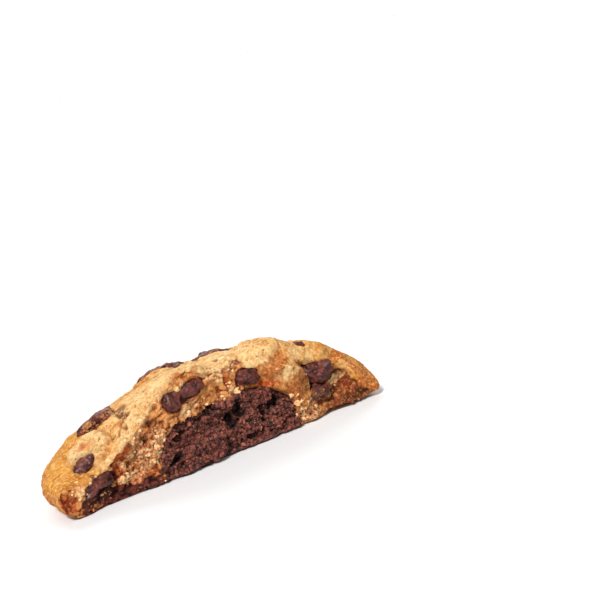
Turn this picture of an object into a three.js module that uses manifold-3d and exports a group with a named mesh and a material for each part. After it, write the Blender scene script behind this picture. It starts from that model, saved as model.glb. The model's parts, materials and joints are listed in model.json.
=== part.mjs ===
// Half of a broken brookie: a thick round chocolate chunk cookie baked over a
// brownie core, torn in two and laid on its flat base.
//
// Millimetres, +Z up. X runs along the tear, +Y goes into the cookie, and the
// torn face looks towards -Y. The origin is the middle of the base's box.
// Places on the crust are given as x and as depth, the distance behind the tear.
//
// The solids: the cookie dough with its domed crust and torn face, the brownie
// core that fills it and reaches the base, and one solid for each chocolate
// chunk. Every shape is a plain three.js form (a lathe, a box or an
// icosahedron) whose points are moved by the functions below.

import * as THREE from 'three';
import { mergeVertices } from 'three/addons/utils/BufferGeometryUtils.js';
import Module from 'manifold-3d';

// ---------------------------------------------------------------- sizes

const CENTRE_X = 0.4;          // middle of the round cookie
const TEAR_Y = -20.9;          // the tear, which runs through that middle
const COOKIE_HEIGHT = 22.3;    // crust above the base at the middle
const RADIUS_RIGHT = 44.5;     // the baked edge is thin on the right
const RADIUS_LEFT = 45.5;      // and thick and blunt on the left
const EDGE_RIGHT = 3.1;        // height of the widest point of the edge
const EDGE_LEFT = 6.0;
const FLAT_RADIUS = 31;        // the base is flat this far out
const EDGE_LUMP = 0.5;         // unevenness of the round outline
const CRUST_LUMP = 0.5;        // low swells of the crust

const CORE_RADIUS = 18.7;      // brownie core
const CORE_HEIGHT = 13.4;
const CORE_BASE = 0.25;        // its underside, a little above the table
const CORE_LUMP = 0.9;

const GAP = 0.3;               // clearance between a piece and its pocket

// ---------------------------------------------------------------- helpers

const square = (v) => v * v;
const clamp = (v, low, high) => Math.min(high, Math.max(low, v));

/** Eased step: 0 at a, 1 at b. */
function smooth(a, b, v) {
  const t = clamp((v - a) / (b - a), 0, 1);
  return t * t * (3 - 2 * t);
}

/** Round hill of height h with its top at (cx, cy). */
function hill(x, y, cx, cy, widthX, widthY, h) {
  return h * Math.exp(-square((x - cx) / widthX) - square((y - cy) / widthY));
}

function hash(i, j, k, seed) {
  const s = Math.sin(i * 127.1 + j * 311.7 + k * 74.7 + seed * 53.3) * 43758.5453;
  return s - Math.floor(s);
}

/** Smooth random field from -1 to 1: random values on a unit lattice, blended. */
function noise(x, y, z, seed) {
  const cell = [x, y, z].map(Math.floor);
  const ease = [x, y, z].map((v, n) => {
    const f = v - cell[n];
    return f * f * f * (f * (f * 6 - 15) + 10);
  });
  let sum = 0;
  for (let corner = 0; corner < 8; corner++) {
    const step = [corner & 1, (corner >> 1) & 1, corner >> 2];
    const weight = step.reduce((w, s, n) => w * (s ? ease[n] : 1 - ease[n]), 1);
    sum += weight * hash(cell[0] + step[0], cell[1] + step[1], cell[2] + step[2], seed);
  }
  return 2 * sum - 1;
}

// ---------------------------------------------------------------- form of the cookie

/** 0 at the right end of the tear, 1 at the left end. */
const leftness = (angle) => (1 - Math.cos(angle)) / 2;

function edgeRadius(angle) {
  const lump = noise(2.2 * Math.cos(angle), 2.2 * Math.sin(angle), 0.5, 7);
  return RADIUS_RIGHT + (RADIUS_LEFT - RADIUS_RIGHT) * leftness(angle) + EDGE_LUMP * lump;
}

function edgeHeight(angle) {
  return EDGE_RIGHT + (EDGE_LEFT - EDGE_RIGHT) * leftness(angle);
}

/** Angle and distance from the cookie's middle; in front of the tear, the tear's own angle. */
function polar(x, y) {
  const dx = x - CENTRE_X;
  const dy = y - TEAR_Y;
  return { angle: Math.atan2(Math.max(dy, 0), dx), r: Math.hypot(dx, dy) };
}

/** Height of the crust: a blunt dome, slumped beside the tear on the left, with lobes on the right. */
function crustHeight(x, y) {
  const { angle, r } = polar(x, y);
  const depth = y - TEAR_Y;
  const left = leftness(angle);
  const power = 2.25 - 0.55 * smooth(0.05, 0.75, left);
  const fall = clamp(1 - (r / edgeRadius(angle)) ** power, 0, 1) ** (0.62 + 0.08 * left);
  const edge = edgeHeight(angle);
  const inside = smooth(0, 0.3, fall);
  let z = edge + (COOKIE_HEIGHT - edge) * fall;
  z -= hill(x, depth, -33.5, 0, 9, 10, 6.6) * inside;           // slump beside the tear
  z -= hill(x, depth, -24, 0, 5, 6, 2.2);
  z += hill(x, depth, -9, 1, 7, 7, 1.8);                        // swell over the core
  z -= hill(x, depth, 2.5, 0, 4.5, 6, 0.9);
  z += hill(x, depth, 15, 4, 8, 8, 2.3);                        // right-hand lobe
  z += hill(x, depth, 30, 2, 5, 7, 0.6);
  z += hill(x, depth, 4, 15, 8, 6, 0.3);
  z += hill(x, depth, -39, 0, 4.5, 7, 1.3) * inside;            // rim raised at the left end
  z += hill(x, depth, -6, 19.5, 4.5, 5, 2.3);                   // crust lifted by a chunk
  z -= hill(x - 0.25 * (depth - 5), depth, 10, 7, 1.5, 7, 1.5); // crease beside the lobe
  return z + CRUST_LUMP * noise(x / 6, depth / 6, 0.3, 11) * inside;
}

/** Height of the base: flat in the middle, curling up to the edge, lifted by the right end of the tear. */
function baseHeight(x, y) {
  const { angle, r } = polar(x, y);
  const t = clamp((r - FLAT_RADIUS) / (edgeRadius(angle) - FLAT_RADIUS), 0, 1);
  const curl = edgeHeight(angle) * (1 - Math.sqrt(1 - t ** 2.4));
  const lift = 1.5 * smooth(22, 31, x) * (1 - smooth(TEAR_Y, TEAR_Y + 16, y)) * (1 - t);
  return curl + lift;
}

/** Mask of a leaning oval on the torn face: 1 inside, easing to 0 at its rim. */
function oval(x, z, cx, cz, halfLong, halfShort, lean, softness) {
  const u = (x - cx) * Math.cos(lean) + (z - cz) * Math.sin(lean);
  const v = (z - cz) * Math.cos(lean) - (x - cx) * Math.sin(lean);
  return 1 - smooth(1 - softness, 1 + softness, Math.hypot(u / halfLong, v / halfShort));
}

/** How far the crust rolls down over the tear: a little on the left, more over the lobe and the tip. */
function rollBy(x) {
  return 0.5 + 0.8 * hill(x, 0, -3, 0, 4, 1, 1) + 4.6 * smooth(4, 13.5, x) + 3 * smooth(35, 38.5, x);
}

/** The rolled crust leans back to the top like a quarter ellipse; the lobe and the right tip bulge. */
function rollRelief(x, z) {
  const roll = rollBy(x);
  const share = clamp((z - crustHeight(x, TEAR_Y) + roll) / roll, 0, 1);
  const lobe = oval(x, z, 15.5, 20, 7, 4.6, -0.15, 0.5);
  return 0.5 * roll * (1 - Math.sqrt(1 - share ** 2)) - 1.1 * lobe + 1.6 * smooth(34, 45, x) ** 2;
}

/** Relief of the torn dough along Y: negative stands proud, positive is a hollow. */
function doughTear(x, z) {
  let y = 0.8 * noise(x / 10, 2.5, z / 8, 3);
  y += 0.9 * noise(x / 3.4, 4.5, z / 2.8, 5);
  y -= 2.6 * oval(x, z, 18.2, 11.2, 7.4, 4.2, 2.36, 0.15);       // tongue of soft dough
  y += 2.4 * oval(x, z, 28, 8.5, 7.5, 6.5, 0, 0.3);             // hollow behind it
  y += 1.2 * oval(x, z, -27, 4, 9, 5, 0.5, 0.5);                // crumbled hollow on the left
  y -= 0.9 * oval(x, z, -10, 15.5, 9, 4, 0.25, 0.5);            // dough over the core
  return y + rollRelief(x, z);
}

/** Relief of the torn brownie along Y: coarser lumps than the dough. */
function brownieTear(x, z) {
  const lumps = 1.1 * noise(x / 5.5, 1.5, z / 4.5, 21) + 0.7 * noise(x / 2.3, 3.5, z / 2.0, 23);
  return 0.2 + lumps - 0.8 * oval(x, z, -9, 3.5, 8, 2.6, 0.15, 0.4);
}

// ---------------------------------------------------------------- three.js forms

/**
 * Closed round body from a lathe: place(angle, t, level) gives each point, with t from 0 on the
 * axis to 1 at the rim and level 0 on the underside, 0.5 on the rim and 1 on the top.
 */
function roundBody(sides, underSteps, topSteps, place) {
  const profile = [];
  for (let n = 0; n < underSteps; n++) {
    profile.push(new THREE.Vector2(n / underSteps, 0));
  }
  profile.push(new THREE.Vector2(1, 0.5));
  for (let n = topSteps - 1; n >= 0; n--) {
    profile.push(new THREE.Vector2(Math.sin((n / topSteps) * (Math.PI / 2)), 1));
  }
  const geometry = new THREE.LatheGeometry(profile, sides);
  const position = geometry.attributes.position;
  for (let n = 0; n < position.count; n++) {
    const level = position.getY(n);
    const t = Math.hypot(position.getX(n), position.getZ(n));
    const angle = Math.atan2(position.getX(n), position.getZ(n));
    position.setXYZ(n, ...place(t < 1e-6 ? 0 : angle, t, level));
  }
  return geometry;
}

function cookieDome() {
  return roundBody(92, 8, 18, (angle, t, level) => {
    const r = t * edgeRadius(Math.abs(angle));
    const x = CENTRE_X + r * Math.cos(angle);
    const y = TEAR_Y + r * Math.sin(angle);
    if (level === 0.5) {
      return [x, y, edgeHeight(Math.abs(angle))];
    }
    return [x, y, level === 1 ? crustHeight(x, y) : baseHeight(x, y)];
  });
}

/** The whole brownie core, or with grow the pocket that holds it, open below. */
function brownieCore(grow) {
  return roundBody(44, 4, 12, (angle, t, level) => {
    const lump = CORE_LUMP * noise(1.8 * Math.cos(angle), 1.8 * Math.sin(angle), 0.5, 31);
    const r = t * (CORE_RADIUS + lump + grow);
    const x = CENTRE_X + r * Math.cos(angle);
    const y = TEAR_Y + r * Math.sin(angle);
    const shoulder = Math.sqrt(1 - t ** 4);
    const swell = 0.6 * noise(x / 6, (y - TEAR_Y) / 6, 1.5, 33) * shoulder;
    const base = grow > 0 ? -1 : CORE_BASE;
    const rim = 3;
    if (level === 0) {
      return [x, y, base];
    }
    return [x, y, level === 0.5 ? rim : rim + (CORE_HEIGHT - rim + grow) * shoulder + swell];
  });
}

/** Block in front of the tear whose far side is the torn surface, with points step apart. */
function tearCutter(relief, step) {
  const width = 100;
  const depth = 30;
  const bottom = -3;
  const height = 30;
  const columns = Math.round(width / step);
  const rows = Math.round(height / step);
  const geometry = new THREE.BoxGeometry(width, depth, height, columns, 1, rows);
  geometry.translate(0, TEAR_Y - depth / 2, bottom + height / 2);
  const position = geometry.attributes.position;
  for (let n = 0; n < position.count; n++) {
    const y = position.getY(n);
    if (y > TEAR_Y - 1) {
      position.setY(n, TEAR_Y + relief(position.getX(n), position.getZ(n)));
    }
  }
  return geometry;
}

/** Chocolate chunk: a rounded, dented block. Turn is about Z and lean tips it along its length. */
function chunkForm({ at, size, turn = 0, lean = 0, seed }, grow) {
  const squareness = 2.7;
  const geometry = new THREE.IcosahedronGeometry(1, 2);
  const position = geometry.attributes.position;
  const point = new THREE.Vector3();
  for (let n = 0; n < position.count; n++) {
    point.fromBufferAttribute(position, n).normalize();
    const sum = [point.x, point.y, point.z].reduce((s, v) => s + Math.abs(v) ** squareness, 0);
    const dent = 1 + 0.24 * noise(1.7 * point.x, 1.7 * point.y, 1.7 * point.z, seed);
    point.multiplyScalar(dent * sum ** (-1 / squareness));
    point.multiply(new THREE.Vector3(...size.map((s) => s / 2 + grow)));
    position.setXYZ(n, point.x, point.y, point.z);
  }
  geometry.rotateY(-lean).rotateZ(turn).translate(...at);
  return geometry;
}

// ---------------------------------------------------------------- chunks

// Chunks in the crust: place, how far the middle lies below the crust, and length, width, thickness.
const CRUST_CHUNKS = [
  { x: -25.1, depth: 14.6, sink: 0.8, size: [10.2, 7.0, 4.4], turn: -0.7, lean: 0.5, seed: 41 },
  { x: -33.9, depth: 5.9, sink: 0.6, size: [6.2, 4.5, 3.6], turn: -0.3, lean: 0.45, seed: 42 },
  { x: -4.2, depth: 19.4, sink: 1.1, size: [11.0, 5.0, 3.2], turn: -0.42, lean: 0.1, seed: 43 },
  { x: 7.3, depth: 15.2, sink: 0.9, size: [11.8, 5.2, 3.4], turn: 0, lean: 0, seed: 44 },
  { x: 25.4, depth: 1.8, sink: 1.1, size: [4.6, 4.0, 3.2], turn: 0.2, lean: -0.4, seed: 45 },
  { x: 20.5, depth: 17.5, sink: 0.9, size: [8.0, 6.0, 4.0], turn: 0.9, lean: -0.3, seed: 46 },
  { x: 32.5, depth: 13.0, sink: 0.9, size: [6.2, 5.0, 3.8], turn: 0.4, lean: -0.6, seed: 47 },
  { x: 7.5, depth: 29.0, sink: 0.9, size: [8.5, 6.5, 4.2], turn: 1.3, lean: -0.5, seed: 48 },
  { x: -3.0, depth: 35.5, sink: 1.1, size: [6.5, 5.5, 4.0], turn: 2.0, lean: -0.6, seed: 49 },
  { x: -16.5, depth: 36.0, sink: 1.1, size: [6.0, 4.8, 3.6], turn: 2.4, lean: -0.5, seed: 50 },
  { x: 22.0, depth: 31.5, sink: 0.8, size: [5.5, 4.6, 3.6], turn: 0.8, lean: -0.7, seed: 51 },
];

// Chunks bared by the tear: place on the torn face, how far the middle lies behind it, and size.
const TEAR_CHUNKS = [
  { x: -12.5, z: 17.8, sink: 1.2, size: [5.0, 5.2, 4.8], turn: 0.2, seed: 61 },
  { x: -6.4, z: 19.3, sink: 1.1, size: [6.4, 4.4, 3.0], turn: -0.2, lean: 0.22, seed: 62 },
  { x: 8.3, z: 16.8, sink: 1.0, size: [6.4, 5.0, 4.0], turn: 0.1, lean: -0.1, seed: 63 },
  { x: 27.5, z: 11.5, sink: 0.9, size: [8.0, 6.0, 5.2], turn: -0.2, lean: -0.2, seed: 64 },
  { x: 27.1, z: 6.4, sink: 0.9, size: [6.4, 5.0, 3.7], turn: 0.3, lean: -0.1, seed: 65 },
  { x: -34.2, z: 5.9, sink: 0.9, size: [8.6, 5.4, 3.6], turn: 0.1, lean: 0.22, seed: 66 },
];

function crustChunk(chunk) {
  const y = TEAR_Y + chunk.depth;
  return { ...chunk, at: [chunk.x, y, crustHeight(chunk.x, y) - chunk.sink] };
}

function tearChunk(chunk) {
  const y = TEAR_Y + doughTear(chunk.x, chunk.z) + chunk.sink;
  return { ...chunk, at: [chunk.x, y, chunk.z] };
}

// ---------------------------------------------------------------- joining and cutting

const wasm = await Module();
wasm.setup();

function solid(geometry) {
  const bare = geometry.clone();
  bare.deleteAttribute('normal');
  bare.deleteAttribute('uv');
  const merged = mergeVertices(bare, 1e-4);
  const corners = merged.index.array;
  const places = merged.attributes.position.array;
  const triangles = [];
  for (let n = 0; n < corners.length; n += 3) {
    const [a, b, c] = [corners[n], corners[n + 1], corners[n + 2]];
    if (a !== b && b !== c && c !== a) {
      triangles.push(a, b, c);
    }
  }
  const mesh = new wasm.Mesh({
    numProp: 3,
    vertProperties: new Float32Array(places),
    triVerts: new Uint32Array(triangles),
  });
  mesh.merge();
  return new wasm.Manifold(mesh);
}

/** The largest body of a solid, without scraps that a cut has left loose. */
function largestBody(body) {
  const parts = body.decompose();
  return parts.reduce((best, part) => (part.volume() > best.volume() ? part : best));
}

function geometryOf(body) {
  const { vertProperties, triVerts, numProp } = body.getMesh();
  const geometry = new THREE.BufferGeometry();
  const places = new Float32Array((vertProperties.length / numProp) * 3);
  for (let n = 0; n < places.length; n++) {
    places[n] = vertProperties[Math.floor(n / 3) * numProp + (n % 3)];
  }
  geometry.setAttribute('position', new THREE.BufferAttribute(places, 3));
  geometry.setIndex(new THREE.BufferAttribute(new Uint32Array(triVerts), 1));
  geometry.computeVertexNormals();
  return geometry;
}

// ---------------------------------------------------------------- materials

const MATERIALS = {
  crust: new THREE.MeshStandardMaterial({ color: 0xd9a35c, roughness: 0.75, metalness: 0 }),
  brownie: new THREE.MeshStandardMaterial({ color: 0x4a2219, roughness: 0.6, metalness: 0 }),
  chocolate: new THREE.MeshStandardMaterial({ color: 0x37181a, roughness: 0.3, metalness: 0 }),
};

// ---------------------------------------------------------------- the brookie

const brookie = new THREE.Group();

function addNode(name, body, material) {
  const mesh = new THREE.Mesh(geometryOf(body), material);
  mesh.name = name;
  brookie.add(mesh);
}

const chunks = [...CRUST_CHUNKS.map(crustChunk), ...TEAR_CHUNKS.map(tearChunk)];

let dough = solid(cookieDome());
dough = dough.subtract(solid(tearCutter(doughTear, 1.6)));
dough = dough.subtract(solid(brownieCore(GAP)));
for (const chunk of chunks) {
  dough = dough.subtract(solid(chunkForm(chunk, GAP)));
}
addNode('cookie', largestBody(dough), MATERIALS.crust);

const core = solid(brownieCore(0)).subtract(solid(tearCutter(brownieTear, 1.25)));
addNode('brownie', largestBody(core), MATERIALS.brownie);

chunks.forEach((chunk, n) => {
  addNode(`chunk_${String(n + 1).padStart(2, '0')}`, solid(chunkForm(chunk, 0)), MATERIALS.chocolate);
});

export default brookie;
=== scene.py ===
# %% [markdown]
# # Half a broken brookie
# A brookie is a thick chocolate chunk cookie baked over a brownie core. This lesson dresses the
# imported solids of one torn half: its crust and crumb, the moist core, the chunks and the grains
# that cling to the tear. The frame comes first, because every surface is laid over its solids.

# %% Load the frame
import json

import bmesh
import bpy
import numpy as np
from mathutils import Matrix, Vector

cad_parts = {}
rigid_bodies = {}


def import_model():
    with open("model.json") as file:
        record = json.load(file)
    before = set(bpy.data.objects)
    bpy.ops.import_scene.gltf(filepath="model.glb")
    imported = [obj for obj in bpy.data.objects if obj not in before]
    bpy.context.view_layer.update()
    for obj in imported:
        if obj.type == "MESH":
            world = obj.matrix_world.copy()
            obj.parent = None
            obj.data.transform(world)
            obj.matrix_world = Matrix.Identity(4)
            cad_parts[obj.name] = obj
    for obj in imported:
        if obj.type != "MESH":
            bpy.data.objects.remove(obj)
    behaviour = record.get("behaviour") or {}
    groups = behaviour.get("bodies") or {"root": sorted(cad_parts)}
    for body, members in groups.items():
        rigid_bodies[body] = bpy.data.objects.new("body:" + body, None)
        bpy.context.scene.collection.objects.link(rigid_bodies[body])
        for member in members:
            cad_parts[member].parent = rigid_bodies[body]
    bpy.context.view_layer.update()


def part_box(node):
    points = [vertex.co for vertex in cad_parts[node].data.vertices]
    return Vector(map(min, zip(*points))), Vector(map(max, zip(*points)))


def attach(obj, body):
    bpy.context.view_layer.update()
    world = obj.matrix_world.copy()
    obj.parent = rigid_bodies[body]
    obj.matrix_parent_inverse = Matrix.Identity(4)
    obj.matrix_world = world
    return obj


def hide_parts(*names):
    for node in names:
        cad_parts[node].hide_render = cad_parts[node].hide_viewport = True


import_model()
MM = 0.001
low, high = (np.array(corner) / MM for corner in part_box("cookie"))
print("cookie solid, mm:", np.round(high - low, 1))

# %% [markdown]
# ## Sizes
# The solids were worked out from these sizes, so the surfaces use them again: the round cookie's
# middle lies on the tear, its edge is thin on the right and blunt on the left, and the core is a
# low puck under the middle. All shapes are worked out in millimetres, with `depth` counted from
# the tear into the cookie, and become metres only when a mesh is made.

# %% Driving sizes
CENTRE_X = 0.4
TEAR_Y = -20.9
COOKIE_HEIGHT = 22.3
RADIUS_RIGHT, RADIUS_LEFT = 44.5, 45.5
EDGE_RIGHT, EDGE_LEFT = 3.1, 6.0
FLAT_RADIUS, MORE_FLAT_LEFT = 31, 5
EDGE_LUMP, CRUST_LUMP, CORE_LUMP = 0.5, 0.5, 0.9
CORE_RADIUS, CORE_HEIGHT, CORE_BASE, CORE_RIM = 18.7, 13.4, 0.25, 3.0
print("tear at y =", TEAR_Y, "and the solid's front at", round(low[1], 1))

# %% [markdown]
# ## Random fields
# Dough and crumb are uneven at every scale, so nearly every surface adds random fields. Value
# noise blends random numbers on a lattice and gives soft swells. Cell noise measures the distance
# to the nearest of scattered points, which gives the broken grains and the gaps of a crumb.

# %% Value noise and cell noise
def smooth(a, b, v):
    """Eased step from 0 at a to 1 at b: 3t^2 - 2t^3, with t the share of the way."""
    t = np.clip((v - a) / (b - a), 0, 1)
    return t * t * (3 - 2 * t)


def lattice(i, j, k, seed):
    """A fixed random number from 0 to 1 for each lattice point: the fraction of a huge sine."""
    s = np.sin(i * 127.1 + j * 311.7 + k * 74.7 + seed * 53.3) * 43758.5453
    return s - np.floor(s)


def noise(x, y, z, seed):
    """Value noise from -1 to 1: the eight lattice values round a point, blended with eased weights."""
    corner = [np.floor(v) for v in (x, y, z)]
    part = [v - c for v, c in zip((x, y, z), corner)]
    ease = [f * f * f * (f * (f * 6 - 15) + 10) for f in part]
    total = 0
    for n in range(8):
        step = (n & 1, n >> 1 & 1, n >> 2)
        weight = 1
        for s, e in zip(step, ease):
            weight = weight * (e if s else 1 - e)
        total = total + weight * lattice(*(c + s for c, s in zip(corner, step)), seed)
    return 2 * total - 1


def rough(x, y, z, seed, octaves=4):
    """Value noise summed over octaves, each half as large and twice as fine."""
    total = sum(noise(x * 2**n, y * 2**n, z * 2**n, seed + n) / 2**n for n in range(octaves))
    return total / 1.6


def grains(x, y, z, seed):
    """Cell noise: distances to the nearest and second scattered point, then the nearest one's number
    and a slope across it: the offset from it times a random direction of its own."""
    cell = [np.floor(v) for v in (x, y, z)]
    near = np.full(np.shape(x), 9.0)
    after = near.copy()
    tag, slope = np.zeros(np.shape(x)), np.zeros(np.shape(x))
    for n in range(27):
        at = [c + (n // 3**axis) % 3 - 1 for axis, c in enumerate(cell)]
        away = [v - a - lattice(*at, seed + axis) for axis, (v, a) in enumerate(zip((x, y, z), at))]
        gap = sum(d**2 for d in away)
        closer = gap < near
        after = np.where(closer, near, np.minimum(after, gap))
        tag = np.where(closer, lattice(*at, seed + 3), tag)
        tilt = sum(d * (lattice(*at, seed + 4 + axis) - 0.5) for axis, d in enumerate(away))
        slope = np.where(closer, tilt, slope)
        near = np.where(closer, gap, near)
    return np.sqrt(near), np.sqrt(after), tag, slope


def billow(x, y, z, seed, octaves=3):
    """Rounded lumps with creases between them: the absolute value of noise, over turned octaves."""
    total = 0
    for n in range(octaves):
        total = total + (np.abs(noise(x, y, z, seed + n)) - 0.25) / 2**n
        x, y, z = 1.6 * x + 1.1 * z, 1.95 * y + 0.3 * x, 1.6 * z - 1.1 * x
    return total


sample = billow(*np.random.default_rng(1).uniform(0, 50, (3, 999)), 5)
print("billow from", np.round(np.percentile(sample, [2, 98]), 2))

# %% [markdown]
# ## The form of the cookie
# The crust is a blunt dome, given as a height over the plan. Swells and dips are added to it: the
# slump beside the tear on the left, the swell over the core, and the lobe with its crease on the
# right. The base is flat in the middle and curls up to the baked edge.

# %% Crust and base
# Middle x, middle depth, width along x, width in depth, height; edge swells fade out at the rim.
EDGE_SWELLS = {"slump": (-33.5, 0, 9, 10, -6.6), "left end": (-39, 0, 4.5, 7, 1.3)}
SWELLS = {"left dip": (-24, 0, 5, 6, -2.2), "left of the middle": (-9, 1, 7, 7, 1.8),
          "middle dip": (2.5, 0, 4.5, 6, -0.9), "lobe": (15, 4, 8, 8, 2.3),
          "right slope": (30, 2, 5, 7, 0.6), "behind the middle": (4, 15, 8, 6, 0.3),
          "under a flat chunk": (-6, 19.5, 4.5, 5, 2.3)}
LOBE_CREASE = (10, 7, 1.5, 7, -1.5)


def rise(x, middle, width, height):
    """A round rise along one direction: height times exp(-(distance / width) squared)."""
    return height * np.exp(-(((x - middle) / width) ** 2))


def hill(x, y, middle_x, middle_y, width_x, width_y, height):
    """A round hill over the plan: a rise in both directions."""
    return rise(x, middle_x, width_x, height) * rise(y, middle_y, width_y, 1)


def leftness(angle):
    """0 at the right end of the tear, 1 at the left end."""
    return (1 - np.cos(angle)) / 2


def edge_radius(angle):
    """Plan radius of the baked edge, with low lumps."""
    lump = noise(2.2 * np.cos(angle), 2.2 * np.sin(angle), 0.5, 7)
    return RADIUS_RIGHT + (RADIUS_LEFT - RADIUS_RIGHT) * leftness(angle) + EDGE_LUMP * lump


def edge_height(angle):
    """Height of the baked edge above the table."""
    return EDGE_RIGHT + (EDGE_LEFT - EDGE_RIGHT) * leftness(angle)


def polar(x, depth):
    """Angle and distance from the cookie's middle."""
    return np.arctan2(np.maximum(depth, 0), x - CENTRE_X), np.hypot(x - CENTRE_X, depth)


def crust_height(x, depth):
    """Dome: edge + rise * (1 - (r/R)^p)^q, then the swells and dips, then low noise."""
    angle, r = polar(x, depth)
    left = leftness(angle)
    power = 2.25 - 0.55 * smooth(0.05, 0.75, left)
    fall = np.clip(1 - (r / edge_radius(angle)) ** power, 0, 1) ** (0.62 + 0.08 * left)
    edge = edge_height(angle)
    inside = smooth(0, 0.3, fall)
    z = edge + (COOKIE_HEIGHT - edge) * fall + hill(x - 0.25 * (depth - 5), depth, *LOBE_CREASE)
    z = z + sum(hill(x, depth, *swell) for swell in SWELLS.values())
    z = z + sum(hill(x, depth, *swell) for swell in EDGE_SWELLS.values()) * inside
    return z + CRUST_LUMP * noise(x / 6, depth / 6, 0.3, 11) * inside


def base_height(x, depth):
    """Flat inside, then a curl up to the edge like a quarter ellipse; on the right the tear's foot
    lifts a little. The flat part reaches further out at the left end."""
    angle, r = polar(x, depth)
    flat = FLAT_RADIUS + MORE_FLAT_LEFT * smooth(0.8, 1, leftness(angle))
    t = np.clip((r - flat) / (edge_radius(angle) - flat), 0, 1)
    curl = edge_height(angle) * (1 - np.sqrt(1 - t**2.4))
    return curl + 1.5 * smooth(22, 31, x) * (1 - smooth(0, 16, depth)) * (1 - t)


print("crust at the middle, mm:", round(float(crust_height(np.array(0.0), np.array(5.0))), 1))

# %% [markdown]
# ## The torn faces
# The tear is a relief along Y: negative values stand proud of the tear's plane, positive ones are
# hollows. A leaning oval marks each region of it, such as the tongue of soft dough that hangs over
# the hollow on the right, and such ovals later say what is crumbly, soft or caramelised.

# %% The torn surfaces
# Middle x, middle z, half length, half width, lean; the face ovals begin with their relief.
TONGUE = (18.2, 11.3, 7.2, 4.7, 2.28)
LOBE_FACE = (15.5, 20, 7, 4.6, -0.15)
FACE_OVALS = {"hollow": (2.4, 28, 8.5, 7.5, 6.5, 0, 0.3), "crumbled left": (1.2, -27, 4, 9, 5, 0.5, 0.5),
              "swell over the core": (-0.9, -10, 15.5, 9, 4, 0.25, 0.5)}
CORE_LEDGE = (-9, 3.5, 8, 2.6, 0.15)


def oval(x, z, cx, cz, half_long, half_short, lean, softness):
    """1 inside a leaning oval, easing to 0 over its rim."""
    u = (x - cx) * np.cos(lean) + (z - cz) * np.sin(lean)
    v = (z - cz) * np.cos(lean) - (x - cx) * np.sin(lean)
    return 1 - smooth(1 - softness, 1 + softness, np.hypot(u / half_long, v / half_short))


def tongue(x, z, softness=0.15):
    """The soft dough hanging over the hollow."""
    return oval(x, z, *TONGUE, softness)


def roll_by(x):
    """How far the crust rolls down over the tear: little at two places on the left, most over the
    lobe and at the right tip."""
    left = rise(x, -18.5, 4, 1.3) + rise(x, -3, 4, 0.8)
    return 0.5 + left + 4.6 * smooth(4, 13.5, x) + 3 * smooth(35, 38.5, x)


def roll_relief(x, z):
    """The rolled crust leans back to the top like a quarter ellipse; the lobe and the tip bulge."""
    share = np.clip((z - crust_height(x, 0 * x)) / roll_by(x) + 1, 0, 1)
    bulge = -1.1 * oval(x, z, *LOBE_FACE, 0.5) + 1.6 * smooth(34, 45, x) ** 2
    return 0.5 * roll_by(x) * (1 - np.sqrt(1 - share**2)) + bulge


def dough_tear(x, z):
    """Relief of the torn dough: noises, the tongue, the face ovals and the rolled crust."""
    y = 0.8 * noise(x / 10, 2.5, z / 8, 3) + 0.9 * noise(x / 3.4, 4.5, z / 2.8, 5) - 2.6 * tongue(x, z)
    y = y + sum(proud * oval(x, z, *shape) for proud, *shape in FACE_OVALS.values())
    return y + roll_relief(x, z)


def brownie_tear(x, z):
    """Relief of the torn core: coarser lumps than the dough, and a ledge low on the left."""
    y = 1.1 * noise(x / 5.5, 1.5, z / 4.5, 21) + 0.7 * noise(x / 2.3, 3.5, z / 2.0, 23)
    return 0.2 + y - 0.8 * oval(x, z, *CORE_LEDGE, 0.4)


def core_radius(angle):
    """Plan radius of the core, with low lumps."""
    return CORE_RADIUS + CORE_LUMP * noise(1.8 * np.cos(angle), 1.8 * np.sin(angle), 0.5, 31)


def core_height(x, depth):
    """Top of the puck: rim + rise * (1 - (r/R)^4)^0.5, with a low swell and, at the tear, a ragged edge."""
    angle, r = polar(x, depth)
    shoulder = np.sqrt(np.clip(1 - (r / core_radius(angle)) ** 4, 0, 1))
    swell = 0.6 * noise(x / 6, depth / 6, 1.5, 33) * shoulder
    ragged = 0.9 * noise(x / 1.9, 0.5, 2.5, 35) + 0.6 * noise(x / 0.8, 0.5, 3.5, 36)
    ragged = ragged * smooth(0.2, 0.6, shoulder) * (1 - smooth(0.5, 3.0, depth))
    return CORE_RIM + (CORE_HEIGHT - CORE_RIM) * shoulder + swell + ragged


print("tongue stands proud by", round(-float(dough_tear(np.array(18.2), np.array(11.2))), 1), "mm")

# %% [markdown]
# The crust doesn't end in a sharp edge at the tear. It rolls over it and hangs down in front, hardly
# at all on the left, most over the lobe and at the right tip, where the baked rim comes round to
# the front. Its lower border wanders.

# %% Where the rolled crust ends
def lip_height(x):
    """Height of the crust's lower border on the torn face."""
    wave = 0.5 * noise(x / 2.3, 0.5, 0.5, 61) + 0.3 * noise(x / 0.9, 0.5, 0.5, 62)
    return crust_height(x, 0 * x) - roll_by(x) + wave


def lip_swell(x, z):
    """The border stands proud as a rounded edge, least over the tongue, by the crumb and at the left."""
    above = z - lip_height(x)
    edge = rise(above / roll_by(x), 0.25, 0.35, 1) * smooth(-0.5, 0.6, above) * smooth(-43, -38, x)
    return (0.45 + 0.12 * roll_by(x)) * edge * (1 - rise(x, 18.5, 5, 0.85)) * (1 - rise(x, -20, 6, 0.7))


print("crust rolls down over the lobe by", round(float(roll_by(np.array(17.0))), 1), "mm")

# %% [markdown]
# ## From arrays to meshes
# A lofted piece is a grid of points: one closed loop round the piece at each station along it. The
# loops shrink to a point at both ends, so the ends need no caps, only their doubles merged. Masks
# worked out with the points are stored as attributes, which the materials read.

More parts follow.
